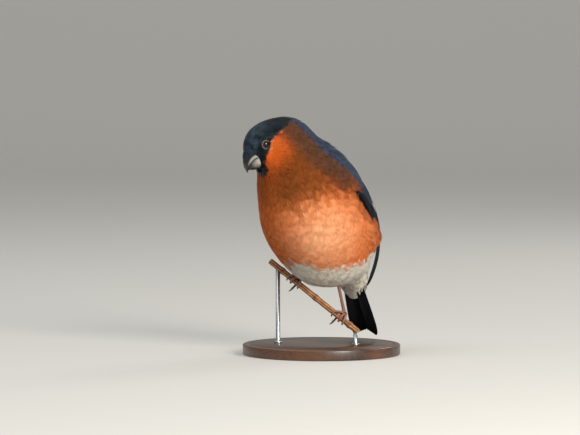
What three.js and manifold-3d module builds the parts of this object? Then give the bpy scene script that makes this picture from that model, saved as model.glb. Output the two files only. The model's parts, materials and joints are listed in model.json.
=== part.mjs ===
// A male bullfinch gripping a short length of sloping stem, its head turned and bent down to its right,
// on a plain display stand. Millimetres, +Z up. The bird's body faces -Y and its left side is +X.
// The origin is the centre of the base's underside.
import * as THREE from "three";
import { mergeVertices } from "three/addons/utils/BufferGeometryUtils.js";
import Module from "manifold-3d";

const wasm = await Module();
wasm.setup();

const rad = THREE.MathUtils.degToRad;
const vec = (x, y, z) => new THREE.Vector3(x, y, z);

// Driving dimensions
const gap = 0.3; // left between pieces that touch
const stand = { radius: 45, thickness: 6, bevel: 0.8, rodRadius: 1.25, socket: 4, sides: 44 };
const torso = { centre: vec(0, 0, 75), pitch: rad(59), width: 62, length: 78, depth: 63 };
const breast = { along: 12, back: -5, width: 56, length: 56, depth: 52 };
const mantle = { along: 21, back: 5, width: 50, length: 46, depth: 44 };
const vent = { share: 0.33, width: 22, length: 40, depth: 13 };
const neck = { centre: vec(-4, -18, 103), width: 43, length: 46, depth: 43 };
const nape = { centre: vec(-5, -24.5, 122), width: 28, length: 28, height: 27 };
const head = {
  centre: vec(-9.5, -38.5, 120),
  turn: rad(18), // to its right
  nod: rad(50), // below level
  tilt: rad(6), // crown to its right
  width: 23,
  length: 26,
  height: 23.5,
};
const eye = { radius: 3.1, forward: 2.6, up: 3.5, out: 8.3, opening: 2.1, lid: 0.6 };
const bill = {
  base: 9.3, // forward of the head's centre, under the feathers
  tip: 19.7,
  halfWidth: [[9, 4.6], [12, 4.3], [15, 3.4], [17.5, 2.1], [19, 1], [19.8, 0.4]],
  culmen: [[9, 6.3], [12, 5.9], [14.5, 5.1], [16.5, 4.1], [18.2, 2.6], [19.3, 0.9], [19.8, -0.4]],
  mouth: [[9, 1.6], [11.5, 2.7], [14, 2.7], [17.3, 2], [18.6, 1], [19.5, -0.3]],
  gonys: [[9, -5.4], [11, -4.8], [13, -3.9], [15, -2.6], [17, -0.8], [18, 0.6]],
};
const nostril = { forward: 12.2, up: 4.4, left: 3, radius: 0.5 };
const tail = {
  root: vec(0, 19, 64),
  tip: vec(0, 40.4, 9.4),
  start: 12, // along the tail, under the coverts
  halfWidth: [[0, 4.6], [20, 6.4], [40, 8.6], [60, 10.8]],
  thickness: 4.4,
  core: { end: 34, halfWidth: 3.6, thickness: [[0, 3.2], [34, 1.4]] },
};
const wing = {
  bend: vec(25, -10, 103),
  tip: vec(9, 36.5, 38),
  outward: vec(0.89, 0.38, 0.24),
  bulge: 10,
  roundFront: 16,
  roundBack: 30,
  front: [[-3, 0], [0, -4], [8, -7.5], [18, -8], [30, -6.5], [42, -5], [66, -4.5], [76, -3.5], [83, -1.5]],
  back: [[-3, 3], [0, 7], [6, 12.5], [16, 16.4], [34, 17.6], [46, 17.2], [56, 12.5], [74, 6], [83, 3]],
  face: [[-3, 0], [4, 2], [12, 2.4], [22, 1.8], [36, 1.3], [50, 0.7], [83, 0.6]],
  thickness: [[-3, 2], [4, 4], [30, 4.2], [50, 3.2], [83, 2.8]],
  spare: 0.15, // how much deeper its bed is than the gap, as both are faceted
  // The fleshy plate under the feathers, and how deep its face lies
  core: { end: 46, depth: [[-3, 0], [9, 0.1], [15, 1], [30, 1.3], [46, 1.9]] },
};
const feather = { thickness: 0.6, tilt: 0.2, sunk: 1.5, rooted: 0.4 };
const perch = {
  upper: vec(-27.5, -12.9, 52.8),
  lower: vec(21.3, 7, 13.4),
  radius: 1.65,
  knots: [0.14, 0.52, 0.9], // where a leaf pair once grew, as shares of its length
  swelling: 0.22,
  sides: 10,
};
const leg = { radius: 0.85, ankle: 1.05, ball: 1.5, stub: 2.6 };
const legs = {
  // share: the foot's place along the perch, across: where each toe ends beside it
  left: {
    share: 0.812,
    heel: vec(7.5, 6.5, 38.5),
    root: vec(6.6, 7.4, 42.5),
    across: [-2.9, -5.4, -0.3, 2.4],
  },
  right: {
    share: 0.3,
    heel: vec(-10.6, -2.2, 49.5),
    root: vec(-10.2, -1.4, 51),
    across: [0.3, -5, -2.3, 2.8],
  },
};
const toe = { radius: 0.76, end: 0.57, pad: 0.09, sides: 6, steps: 8 };
const toes = [
  { name: "1", start: 0, to: -128, straight: 4.2 }, // the hind toe runs under the stem and out
  { name: "2", start: -1, to: 108, straight: 0 },
  { name: "3", start: -0.2, to: 142, straight: 0 },
  { name: "4", start: 0.9, to: 122, straight: 0 },
];
const claw = { radius: 0.5, end: 0.14, length: 4.6, bend: rad(75), sides: 6, steps: 4 };
const rods = { upper: 0.09, lower: 0.97 }; // shares of the perch's length

// A closed three.js geometry as a manifold-3d solid, with its faces turned outwards.
function solidFrom(geometry) {
  const bare = geometry.index ? geometry.toNonIndexed() : geometry.clone();
  bare.deleteAttribute("normal");
  bare.deleteAttribute("uv");
  const merged = mergeVertices(bare, 1e-4);
  const triVerts = new Uint32Array(merged.index.array);
  const vertProperties = new Float32Array(merged.attributes.position.array);
  const made = new wasm.Manifold(new wasm.Mesh({ numProp: 3, vertProperties, triVerts }));
  if (made.volume() > 0) return made;
  for (let i = 0; i < triVerts.length; i += 3) {
    [triVerts[i + 1], triVerts[i + 2]] = [triVerts[i + 2], triVerts[i + 1]];
  }
  return new wasm.Manifold(new wasm.Mesh({ numProp: 3, vertProperties, triVerts }));
}

// The largest closed surface of a solid.
function largest(solid) {
  return solid.decompose().reduce((best, piece) => (piece.volume() > best.volume() ? piece : best));
}

function geometryFrom(solid) {
  const mesh = solid.getMesh();
  const position = new Float32Array(mesh.numVert * 3);
  for (let i = 0; i < mesh.numVert; i++) {
    position.set(mesh.vertProperties.subarray(i * mesh.numProp, i * mesh.numProp + 3), i * 3);
  }
  return new THREE.BufferGeometry()
    .setAttribute("position", new THREE.BufferAttribute(position, 3))
    .setIndex(new THREE.BufferAttribute(mesh.triVerts, 1));
}

// A closed solid through rings of points, with flat ends.
// Columns in swapped are split along the other diagonal.
function loft(rings, swapped = []) {
  const count = rings[0].length;
  const index = [];
  for (let i = 0; i + 1 < rings.length; i++) {
    for (let j = 0; j < count; j++) {
      const a = i * count + j;
      const b = i * count + ((j + 1) % count);
      if (swapped.includes(j)) index.push(a, b, a + count, b, b + count, a + count);
      else index.push(a, b, b + count, a, b + count, a + count);
    }
  }
  const last = (rings.length - 1) * count;
  for (let j = 1; j + 1 < count; j++) index.push(0, j + 1, j, last, last + j, last + j + 1);
  const position = rings.flat().flatMap((p) => [p.x, p.y, p.z]);
  const geometry = new THREE.BufferGeometry()
    .setAttribute("position", new THREE.Float32BufferAttribute(position, 3))
    .setIndex(index);
  return solidFrom(geometry);
}

// A round bar along a curve: radiusAt gives its radius at each share of the length.
function bar(curve, radiusAt, steps, sides) {
  const frames = curve.computeFrenetFrames(steps, false);
  const rings = [];
  for (let i = 0; i <= steps; i++) {
    const centre = curve.getPointAt(i / steps);
    const radius = radiusAt(i / steps);
    const ring = [];
    for (let j = 0; j < sides; j++) {
      const angle = (2 * Math.PI * j) / sides;
      ring.push(
        centre
          .clone()
          .addScaledVector(frames.normals[i], radius * Math.cos(angle))
          .addScaledVector(frames.binormals[i], radius * Math.sin(angle)),
      );
    }
    rings.push(ring);
  }
  return loft(rings);
}

// Distance, near enough, outside an ellipsoid. axes are unit vectors and sizes are full widths along them.
function ellipsoid(centre, axes, sizes) {
  const inverse = new THREE.Matrix4().makeBasis(...axes).setPosition(centre).invert();
  const r = sizes.map((size) => size / 2);
  const q = vec(0, 0, 0);
  return (p) => {
    q.copy(p).applyMatrix4(inverse);
    const near = Math.hypot(q.x / r[0], q.y / r[1], q.z / r[2]);
    const steep = Math.hypot(q.x / r[0] ** 2, q.y / r[1] ** 2, q.z / r[2] ** 2);
    return steep === 0 ? -Math.min(...r) : (near * (near - 1)) / steep;
  };
}

// Forms joined with a soft fillet of the given reach.
function blend(forms, reach) {
  return (p) =>
    forms.reduce((nearest, form) => {
      const d = form(p);
      const h = Math.max(reach - Math.abs(nearest - d), 0) / reach;
      return Math.min(nearest, d) - (h * h * reach) / 4;
    }, Infinity);
}

// The zero surface of a field as a solid: one point in each grid cell it crosses, drawn onto the surface.
function surfaceOf(field, low, high, cell) {
  const n = ["x", "y", "z"].map((k) => Math.ceil((high[k] - low[k]) / cell) + 1);
  const node = (i, j, k) => (k * n[1] + j) * n[0] + i;
  const place = (i, j, k) => vec(low.x + i * cell, low.y + j * cell, low.z + k * cell);
  const value = new Float64Array(n[0] * n[1] * n[2]);
  const pointIn = new Map();
  const points = [];
  const index = [];
  for (let k = 0; k < n[2]; k++) {
    for (let j = 0; j < n[1]; j++) {
      for (let i = 0; i < n[0]; i++) value[node(i, j, k)] = field(place(i, j, k));
    }
  }
  const steps = [vec(0.05, 0, 0), vec(0, 0.05, 0), vec(0, 0, 0.05)];
  const drawn = (p) => {
    for (let turn = 0; turn < 3; turn++) {
      const here = field(p);
      const slope = vec(...steps.map((s) => (field(p.clone().add(s)) - here) / 0.05));
      p.addScaledVector(slope, -here / Math.max(slope.lengthSq(), 0.2));
    }
    return p;
  };
  const crossing = (i, j, k) => {
    const sum = vec(0, 0, 0);
    let found = 0;
    const corners = [0, 1, 2, 3, 4, 5, 6, 7].map((c) => [i + (c & 1), j + ((c >> 1) & 1), k + (c >> 2)]);
    for (let a = 0; a < 8; a++) {
      for (let bit = 1; bit < 8; bit <<= 1) {
        const b = a | bit;
        if (b === a) continue;
        const va = value[node(...corners[a])];
        const vb = value[node(...corners[b])];
        if (va < 0 === vb < 0) continue;
        sum.add(place(...corners[a]).lerp(place(...corners[b]), va / (va - vb)));
        found++;
      }
    }
    return found ? drawn(sum.divideScalar(found)) : null;
  };
  for (let k = 0; k + 1 < n[2]; k++) {
    for (let j = 0; j + 1 < n[1]; j++) {
      for (let i = 0; i + 1 < n[0]; i++) {
        const p = crossing(i, j, k);
        if (!p) continue;
        pointIn.set(node(i, j, k), points.length);
        points.push(p);
      }
    }
  }
  for (let axis = 0; axis < 3; axis++) {
    const along = [0, 0, 0];
    const side = [0, 0, 0];
    const back = [0, 0, 0];
    along[axis] = 1;
    side[(axis + 1) % 3] = 1;
    back[(axis + 2) % 3] = 1;
    for (let k = back[2] + side[2]; k + 1 < n[2]; k++) {
      for (let j = back[1] + side[1]; j + 1 < n[1]; j++) {
        for (let i = back[0] + side[0]; i + 1 < n[0]; i++) {
          const here = value[node(i, j, k)] < 0;
          if (here === value[node(i + along[0], j + along[1], k + along[2])] < 0) continue;
          const cellAt = (s, b) => {
            const [x, y, z] = [i, j, k].map((at, m) => at - s * side[m] - b * back[m]);
            return pointIn.get(node(x, y, z));
          };
          const [a, b, c, d] = [cellAt(1, 1), cellAt(0, 1), cellAt(0, 0), cellAt(1, 0)];
          const short = points[a].distanceTo(points[c]) < points[b].distanceTo(points[d]);
          const quad = short ? [a, b, c, a, c, d] : [a, b, d, b, c, d];
          index.push(...(here ? quad : quad.reverse()));
        }
      }
    }
  }
  const geometry = new THREE.BufferGeometry()
    .setAttribute("position", new THREE.Float32BufferAttribute(points.flatMap((p) => [p.x, p.y, p.z]), 3))
    .setIndex(index);
  return solidFrom(geometry);
}

// The body's own axes: left, along the spine towards the head, and out of the back.
const bodyAxes = [
  vec(1, 0, 0),
  vec(0, -Math.cos(torso.pitch), Math.sin(torso.pitch)),
  vec(0, Math.sin(torso.pitch), Math.cos(torso.pitch)),
];

// The head's axes: left, forwards along the bill, and out of the crown.
const headTurn = new THREE.Matrix4()
  .makeRotationZ(-head.turn)
  .multiply(new THREE.Matrix4().makeRotationX(head.nod))
  .multiply(new THREE.Matrix4().makeRotationY(-head.tilt));
const headAxes = [vec(1, 0, 0), vec(0, -1, 0), vec(0, 0, 1)].map((axis) => axis.applyMatrix4(headTurn));

function onHead(left, forward, up) {
  return head.centre
    .clone()
    .addScaledVector(headAxes[0], left)
    .addScaledVector(headAxes[1], forward)
    .addScaledVector(headAxes[2], up);
}

function onBody(left, along, back) {
  return torso.centre
    .clone()
    .addScaledVector(bodyAxes[0], left)
    .addScaledVector(bodyAxes[1], along)
    .addScaledVector(bodyAxes[2], back);
}

// A value between the points of a profile, each a place and its value.
function between(profile, x) {
  let i = 1;
  while (i + 1 < profile.length && x > profile[i][0]) i++;
  const [x0, y0] = profile[i - 1];
  const [x1, y1] = profile[i];
  return y0 + ((y1 - y0) * Math.min(Math.max(x - x0, 0), x1 - x0)) / (x1 - x0);
}

// The tail: u runs along it from its root, v across it to the right, h out of its upper face.
const tailLength = tail.root.distanceTo(tail.tip);
const tailAlong = tail.tip.clone().sub(tail.root).normalize();
const tailAcross = vec(-1, 0, 0);
const tailUp = tailAlong.clone().cross(tailAcross);
const tailAxes = [tailAcross, tailAlong, tailUp];

function onTail(u, v, h) {
  const point = tail.root.clone().addScaledVector(tailAlong, u);
  return point.addScaledVector(tailAcross, v).addScaledVector(tailUp, h);
}

// The left wing: u runs from the bend to the tip, v across it towards the back, h out of its face.
const wingLength = wing.bend.distanceTo(wing.tip);
const wingAlong = wing.tip.clone().sub(wing.bend).normalize();
const wingOut = wing.outward.clone().addScaledVector(wingAlong, -wing.outward.dot(wingAlong)).normalize();
const wingBack = wingOut.clone().cross(wingAlong);

function onWing(u, v, h) {
  const share = (2 * u) / wingLength - 1;
  const round = v > 0 ? wing.roundBack : wing.roundFront;
  const lift = wing.bulge * (1 - share ** 2) - v ** 2 / (2 * round);
  return wing.bend
    .clone()
    .addScaledVector(wingAlong, u)
    .addScaledVector(wingBack, v)
    .addScaledVector(wingOut, lift + h);
}

// The perch: its axis, the way off its top, and the way the toes point.
const perchAlong = perch.lower.clone().sub(perch.upper).normalize();
const perchTop = vec(0, 0, 1).addScaledVector(perchAlong, -perchAlong.z).normalize();
const perchFront = perchAlong.clone().cross(perchTop);

// The outline of the plumage as one field.
const plumage = blend(
  [
    ellipsoid(torso.centre, bodyAxes, [torso.width, torso.length, torso.depth]),
    ellipsoid(onBody(0, breast.along, breast.back), bodyAxes, [breast.width, breast.length, breast.depth]),
    ellipsoid(onBody(0, mantle.along, mantle.back), bodyAxes, [mantle.width, mantle.length, mantle.depth]),
    ellipsoid(neck.centre, bodyAxes, [neck.width, neck.length, neck.depth]),
    ellipsoid(nape.centre, headAxes, [nape.width, nape.length, nape.height]),
    ellipsoid(head.centre, headAxes, [head.width, head.length, head.height]),
    ellipsoid(tail.root.clone().lerp(tail.tip, vent.share), tailAxes, [vent.width, vent.length, vent.depth]),
  ],
  10,
);

function headCut() {
  const normal = head.centre.clone().sub(neck.centre).normalize();
  return { normal, offset: normal.dot(head.centre) - 6 };
}

function neckCut() {
  const normal = neck.centre.clone().sub(torso.centre).normalize();
  return { normal, offset: normal.dot(neck.centre) - 6 };
}

// What lies past a cut, or before it, half the gap away from it.
function past(solid, cut) {
  return solid.trimByPlane(cut.normal.toArray(), cut.offset + gap / 2);
}

function before(solid, cut) {
  return solid.trimByPlane(cut.normal.clone().negate().toArray(), -cut.offset + gap / 2);
}

const material = (colour, roughness, metalness = 0) =>
  new THREE.MeshStandardMaterial({ color: colour, roughness, metalness });
const finishes = {
  cap: material("#15181f", 0.45),
  breast: material("#c05a32", 0.85),
  wing: material("#16171d", 0.5),
  horn: material("#3a3836", 0.4),
  eye: material("#140c08", 0.08),
  leg: material("#6b4a42", 0.6),
  stem: material("#8a5a34", 0.85),
  wood: material("#3b2a20", 0.5),
  steel: material("#b8b8b4", 0.3, 1),
};

const bird = new THREE.Group();

function add(name, solid, finish) {
  const mesh = new THREE.Mesh(geometryFrom(largest(solid)), finish);
  mesh.name = name;
  bird.add(mesh);
}

// The part of a field that lies past a cut, with a little to spare.
function pastField(field, cut, spare) {
  return (p) => Math.max(field(p), cut.offset - spare - cut.normal.dot(p));
}

// A plate on a curved sheet: a strip at each station along u, its rims thinner by bevel on each face.
function plate(onSheet, stations, front, back, inner, outer, bevel) {
  const shares = [0, 0.25, 0.5, 0.75, 1];
  const rings = stations.map((u) => {
    const v = (share) => front(u) + (back(u) - front(u)) * share;
    const rim = (share) => (share === 0 || share === 1 ? bevel(u) : 0);
    const under = shares.map((share) => onSheet(u, v(share), inner(u) + rim(share)));
    const over = shares.map((share) => onSheet(u, v(share), outer(u) - rim(share)));
    return [...under, ...over.reverse()];
  });
  return loft(rings, [5, 6, 7, 8]);
}

const wingFace = (u) => between(wing.face, u);
const wingInner = (u) => wingFace(u) - between(wing.thickness, u);

// The room a wing takes up, open outwards, to be cut out of the body.
function wingSeat() {
  return plate(
    onWing,
    [-3 - gap, 0, 4, 9, 16, 24, 34, 44, 52, 60, 68, 76, wingLength + gap],
    (u) => between(wing.front, u) - gap,
    (u) => between(wing.back, u) + gap,
    (u) => wingInner(u) - gap - wing.spare,
    (u) => wingFace(u) + 30,
    () => 0,
  );
}

function tailSeat() {
  const half = (u) => between(tail.halfWidth, u) + gap;
  const side = tail.thickness / 2 + gap;
  const stations = [tail.start - gap, 22, 32, 44, tailLength + gap];
  return plate(onTail, stations, (u) => -half(u), half, () => -side, () => side, () => 0.2);
}

// One feather as a thin strip on a sheet. edge is where its front edge runs, at the root and at the tip,
// and height is its top face there. It slopes down to its back edge, and its root sinks into what carries it.
function vane(onSheet, { from, to, edge, half, height, tilt = feather.tilt, sunk = feather.sunk }) {
  const stations = [0, 0.4, 0.8, 0.94, 1];
  const fullness = [0.6, 0.96, 0.94, 0.62, 0.2];
  const rings = stations.map((t, i) => {
    const u = from + (to - from) * t;
    const centre = edge[0] + (edge[1] - edge[0]) * t + half;
    const at = (side, drop) => {
      const across = side * half * fullness[i];
      const top = height(u) - tilt * (across + half) - sunk * Math.max(0, 1 - t / feather.rooted);
      return onSheet(u, centre + across, top - drop);
    };
    return [at(-1, feather.thickness), at(1, feather.thickness), at(1, 0), at(-1, 0)];
  });
  return loft(rings, [2]);
}

function row(count, makeSpec) {
  return Array.from({ length: count }, (_, i) => makeSpec(i));
}

function wingFeathers() {
  const raised = (height) => (u) => wingFace(u) + height;
  const specs = [
    // primaries, the outermost first
    ...row(7, (i) => ({
      from: 20,
      to: 79 + 3.9 * Math.sin(0.75 * i + 0.1) - 2.1 * Math.max(0, i - 2),
      edge: [-5 + 1.3 * i, -2.4 + 0.95 * i],
      half: 2.7,
      height: raised(0),
    })),
    // secondaries
    ...row(4, (i) => ({
      from: 18,
      to: 57.5 - i,
      edge: [4 + 1.8 * i, 3.4 + 2.1 * i],
      half: 3.4,
      height: raised(0),
    })),
    // tertials, the longest next to the secondaries
    ...row(3, (i) => ({
      from: 15,
      to: 52 - 5.5 * i,
      edge: [6.6 + 1.2 * i, 6.2 + 1.7 * i],
      half: 3.9,
      height: raised(0.55),
    })),
    // primary coverts
    ...row(2, (i) => ({
      from: 14,
      to: 37 - 2.5 * i,
      edge: [-5.8 + 1.8 * i, -5.4 + 2 * i],
      half: 1.9,
      height: raised(0.6),
    })),
    // the feather of the thumb
    { from: 7, to: 24, edge: [-5.4, -5.8], half: 1.8, height: raised(1) },
    // greater coverts
    ...row(7, (i) => ({
      from: 12,
      to: 33.5 - 0.3 * i,
      edge: [-2 + 1.85 * i, -1.6 + 2.3 * i],
      half: 2.6,
      height: raised(0.65),
    })),
    // median coverts
    ...row(5, (i) => ({
      from: 6,
      to: 21 - 0.2 * i,
      edge: [-2.6 + 2.2 * i, -3.4 + 3.2 * i],
      half: 2.7,
      height: raised(0.95),
    })),
  ];
  const core = plate(
    onWing,
    [-3, 0, 4, 9, 15, 24, 34, wing.core.end],
    (u) => between(wing.front, u) + (u > 20 ? 1 : 0),
    (u) => between(wing.back, u) - (u > 40 ? 1.5 : 0.1),
    wingInner,
    (u) => wingFace(u) - between(wing.core.depth, u),
    (u) => 0.3 * (between(wing.thickness, u) - between(wing.core.depth, u)),
  );
  return specs.reduce((sum, spec) => sum.add(vane(onWing, spec)), core);
}

function tailFeathers() {
  const { end, halfWidth, thickness } = tail.core;
  const side = (u) => between(thickness, u) / 2;
  const across = () => halfWidth;
  const under = (u) => -side(u);
  const core = plate(onTail, [tail.start, 22, end], () => -halfWidth, across, under, side, () => 0.4);
  // Six pairs, the middle one on top and shortest, each next pair lower, longer and further out
  const pairs = row(6, (i) => ({
    to: tailLength - 1.2 + 0.35 * i,
    centre: [0.7 + 0.42 * i, 1.5 + 1.5 * i - 0.04 * i * i],
    height: 1.7 - 0.42 * i,
    half: 3.5 - 0.08 * i,
  }));
  const feathers = pairs.flatMap(({ to, centre, height, half }) =>
    [1, -1].map((turn) =>
      vane(onTail, {
        from: tail.start + 3,
        to,
        edge: centre.map((v) => turn * v - half),
        half,
        height: () => height - (turn < 0 ? 0.14 : 0),
        tilt: 0,
        sunk: 0.2,
      }),
    ),
  );
  return feathers.reduce((sum, piece) => sum.add(piece), core);
}

// The bill: a ring round it at one place, from a low to a high profile, flat on the side of the mouth.
function billRing(forward, low, high, halfWidth, flatSide) {
  const ring = [];
  for (let j = 0; j < 12; j++) {
    const angle = (2 * Math.PI * (j + 0.5)) / 12;
    const squashed = Math.sign(Math.sin(angle)) === flatSide ? 0.12 : 1;
    const base = flatSide > 0 ? high : low;
    const reach = flatSide > 0 ? low - high : high - low;
    const rise = squashed < 1 ? 0 : Math.abs(Math.sin(angle)) ** 0.8;
    ring.push(onHead(halfWidth * Math.cos(angle), forward, base + reach * rise));
  }
  return ring;
}

function mandible(stations, lowAt, highAt, slim, flatSide) {
  const rings = stations.map((x) => {
    const high = highAt(x);
    return billRing(x, Math.min(lowAt(x), high - 0.35), high, slim * between(bill.halfWidth, x), flatSide);
  });
  return loft(rings);
}

const mouthAt = (x) => between(bill.mouth, x);
const culmenAt = (x) => between(bill.culmen, x);
const gonysAt = (x) => between(bill.gonys, x);

function billSeat() {
  const stations = [bill.base - gap, 11, 12.5, 14, 15.5, 17, 18.5, bill.tip + gap];
  const low = (x) => gonysAt(x) - gap;
  const high = (x) => culmenAt(x) + gap;
  const rings = stations.map((x) => {
    const ring = [];
    for (let j = 0; j < 16; j++) {
      const angle = (2 * Math.PI * j) / 16;
      const up = (low(x) + high(x)) / 2 + ((high(x) - low(x)) / 2) * Math.sin(angle);
      const stout = Math.abs(Math.cos(angle)) ** 0.7 * Math.sign(Math.cos(angle));
      ring.push(onHead((between(bill.halfWidth, x) + 2 * gap) * stout, x, up));
    }
    return ring;
  });
  return loft(rings);
}

function ball(centre, radius, wide = 12, high = 8) {
  const geometry = new THREE.SphereGeometry(radius, wide, high);
  return solidFrom(geometry.translate(centre.x, centre.y, centre.z));
}

// Eyes, their sockets and the ring of lids round each
const eyeCentre = (side) => onHead(side * eye.out, eye.forward, eye.up);

function lids(side) {
  const outwards = headAxes[0].clone().multiplyScalar(side);
  const rim = Math.sqrt((eye.radius + gap) ** 2 - eye.opening ** 2);
  const mound = ball(eyeCentre(side), eye.radius + gap + eye.lid, 16, 12);
  return mound.trimByPlane(outwards.clone().negate().toArray(), -outwards.dot(eyeCentre(side)) - rim);
}

// Perch
const perchLength = perch.upper.distanceTo(perch.lower);

function perchBar(grow) {
  const curve = new THREE.LineCurve3(
    perch.upper.clone().addScaledVector(perchAlong, -grow),
    perch.lower.clone().addScaledVector(perchAlong, grow),
  );
  const swelling = (t) => perch.knots.reduce((sum, knot) => sum + Math.exp(-(((t - knot) / 0.025) ** 2)), 0);
  return bar(curve, (t) => perch.radius + grow + perch.swelling * swelling(t), 22, perch.sides);
}

// A place round the perch: a distance across from a foot's middle, an angle from its top and a reach
// from its axis.
function roundPerch(share, across, angle, reach) {
  return perch.upper
    .clone()
    .addScaledVector(perchAlong, share * perchLength + across)
    .addScaledVector(perchTop, reach * Math.cos(angle))
    .addScaledVector(perchFront, reach * Math.sin(angle));
}

const ballCentre = (side) => roundPerch(legs[side].share, 0, 0, perch.radius + gap + leg.ball - 0.2);

function toePath(side, digit) {
  const points = [];
  const reach = perch.radius + gap + toe.radius;
  const round = rad(digit.to);
  const last = legs[side].across[toes.indexOf(digit)];
  const across = (t) => digit.start + (last - digit.start) * Math.sin((Math.PI / 2) * Math.min(1.3 * t, 1));
  for (let i = 0; i <= 8; i++) {
    const t = i / 8;
    const lift = 0.8 * (1 - t) ** 2;
    points.push(roundPerch(legs[side].share, across(t), round * (0.05 + 0.95 * t), reach + lift));
  }
  if (digit.straight > 0) {
    const onward = points[8].clone().sub(points[7]).normalize();
    points.push(points[8].clone().addScaledVector(onward, digit.straight / 2));
    points.push(points[8].clone().addScaledVector(onward, digit.straight));
  }
  return new THREE.CatmullRomCurve3(points);
}

function foot(side, grow) {
  const centre = ballCentre(side);
  const up = legs[side].heel.clone().sub(centre).normalize();
  const stub = new THREE.LineCurve3(centre, centre.clone().addScaledVector(up, leg.stub));
  const pieces = toes.map((digit) => {
    const pads = (t) => toe.pad * Math.cos(6 * Math.PI * t);
    const radiusAt = (t) => toe.radius + (toe.end - toe.radius) * t + pads(t) + grow;
    return bar(toePath(side, digit), radiusAt, toe.steps, toe.sides);
  });
  const whole = pieces.reduce(
    (sum, piece) => sum.add(piece),
    ball(centre, leg.ball + grow).add(bar(stub, () => leg.ankle + grow, 1, 8)),
  );
  return grow > 0 ? whole : whole.subtract(perchBar(gap));
}

function tarsus(side, grow) {
  const { heel, root } = legs[side];
  const centre = ballCentre(side);
  const up = heel.clone().sub(centre).normalize();
  const start = centre.clone().addScaledVector(up, leg.stub + gap - grow);
  const end = root.clone().addScaledVector(root.clone().sub(heel).normalize(), grow);
  const curve = new THREE.CatmullRomCurve3([start, start.clone().lerp(heel, 0.5), heel, end]);
  const radiusAt = (t) => leg.radius + 0.2 * (1 - t) ** 4 + 0.35 * t ** 6 + grow;
  return bar(curve, radiusAt, 8, 8);
}

function clawOf(side, digit) {
  const path = toePath(side, digit);
  const along = path.getTangentAt(1);
  const root = path.getPointAt(1).addScaledVector(along, gap);
  const inward = roundPerch(legs[side].share, legs[side].across[toes.indexOf(digit)], 0, 0).sub(root);
  inward.addScaledVector(along, -inward.dot(along)).normalize();
  const radius = claw.length / claw.bend;
  const points = [0, 0.25, 0.5, 0.75, 1].map((t) =>
    root
      .clone()
      .addScaledVector(along, radius * Math.sin(claw.bend * t))
      .addScaledVector(inward, radius * (1 - Math.cos(claw.bend * t))),
  );
  const radiusAt = (t) => claw.end + (claw.radius - claw.end) * (1 - t) ** 0.8;
  return bar(new THREE.CatmullRomCurve3(points), radiusAt, claw.steps, claw.sides);
}

// Stand
const rodFoot = (share) => roundPerch(share, 0, 0, 0);

function upright(centre, radius, low, high, sides) {
  const geometry = new THREE.CylinderGeometry(radius, radius, high - low, sides).rotateX(Math.PI / 2);
  return solidFrom(geometry.translate(centre.x, centre.y, (low + high) / 2));
}

function standBase() {
  const { radius, thickness, bevel } = stand;
  const outline = [
    [0, 0],
    [radius - bevel, 0],
    [radius, bevel],
    [radius, thickness - bevel],
    [radius - bevel, thickness],
    [0, thickness],
  ].map(([x, y]) => new THREE.Vector2(x, y));
  const disc = solidFrom(new THREE.LatheGeometry(outline, stand.sides).rotateX(Math.PI / 2));
  return Object.values(rods).reduce((left, share) => {
    const hole = upright(rodFoot(share), stand.rodRadius + gap, thickness - stand.socket, thickness + 1, 16);
    return left.subtract(hole);
  }, disc);
}

function standRod(share) {
  const centre = rodFoot(share);
  const rod = upright(centre, stand.rodRadius, stand.thickness - stand.socket + gap, centre.z, 16);
  return rod.subtract(perchBar(gap));
}

const mirror = new THREE.Matrix4().makeScale(-1, 1, 1);
const mirrored = (solid) => solidFrom(geometryFrom(solid).applyMatrix4(mirror));

const coarse = surfaceOf(plumage, vec(-50, -76, 0), vec(50, 66, 152), 5);
const fine = surfaceOf(pastField(plumage, headCut(), 4), vec(-48, -76, 80), vec(40, 10, 152), 2.6);

const leftWing = wingFeathers();
const seats = [
  wingSeat(),
  mirrored(wingSeat()),
  billSeat(),
  tailSeat(),
  foot("right", gap),
  tarsus("left", gap),
  tarsus("right", gap),
  perchBar(gap),
];
const eyes = [eyeCentre(1), eyeCentre(-1)];

let face = past(fine, headCut()).add(lids(1)).add(lids(-1)).subtract(billSeat());
for (const centre of eyes) face = face.subtract(ball(centre, eye.radius + gap, 14, 10));
add("head", face, finishes.cap);

const carved = (solid) => seats.reduce((left, seat) => left.subtract(seat), solid);
add("neck", carved(before(past(coarse, neckCut()), headCut())), finishes.breast);
add("torso", carved(before(coarse, neckCut())), finishes.breast);
add("left_wing", leftWing, finishes.wing);
add("right_wing", mirrored(leftWing), finishes.wing);
add("tail", tailFeathers(), finishes.wing);

const upperStations = [bill.base, 11, 12.5, 14, 15.5, 17, 18.2, 19.1, bill.tip];
const lowerStations = [bill.base, 11, 12.5, 14, 15.5, 16.8, 17.8];
let upperBill = mandible(upperStations, (x) => mouthAt(x) + gap / 2, culmenAt, 1, -1);
for (const side of [1, -1]) {
  const pit = onHead(side * nostril.left, nostril.forward, nostril.up);
  upperBill = upperBill.subtract(ball(pit, nostril.radius, 6, 4));
}
add("upper_mandible", upperBill, finishes.horn);
add("lower_mandible", mandible(lowerStations, gonysAt, (x) => mouthAt(x) - gap / 2, 0.93, 1), finishes.horn);
add("left_eye", ball(eyes[0], eye.radius, 14, 10), finishes.eye);
add("right_eye", ball(eyes[1], eye.radius, 14, 10), finishes.eye);

for (const side of ["left", "right"]) {
  add(`${side}_tarsus`, tarsus(side, 0), finishes.leg);
  add(`${side}_foot`, foot(side, 0), finishes.leg);
  for (const digit of toes) add(`${side}_claw_${digit.name}`, clawOf(side, digit), finishes.horn);
}

add("perch", perchBar(0), finishes.stem);
add("stand_base", standBase(), finishes.wood);
add("stand_rod_upper", standRod(rods.upper), finishes.steel);
add("stand_rod_lower", standRod(rods.lower), finishes.steel);

export default bird;
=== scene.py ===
import json
import math

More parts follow.
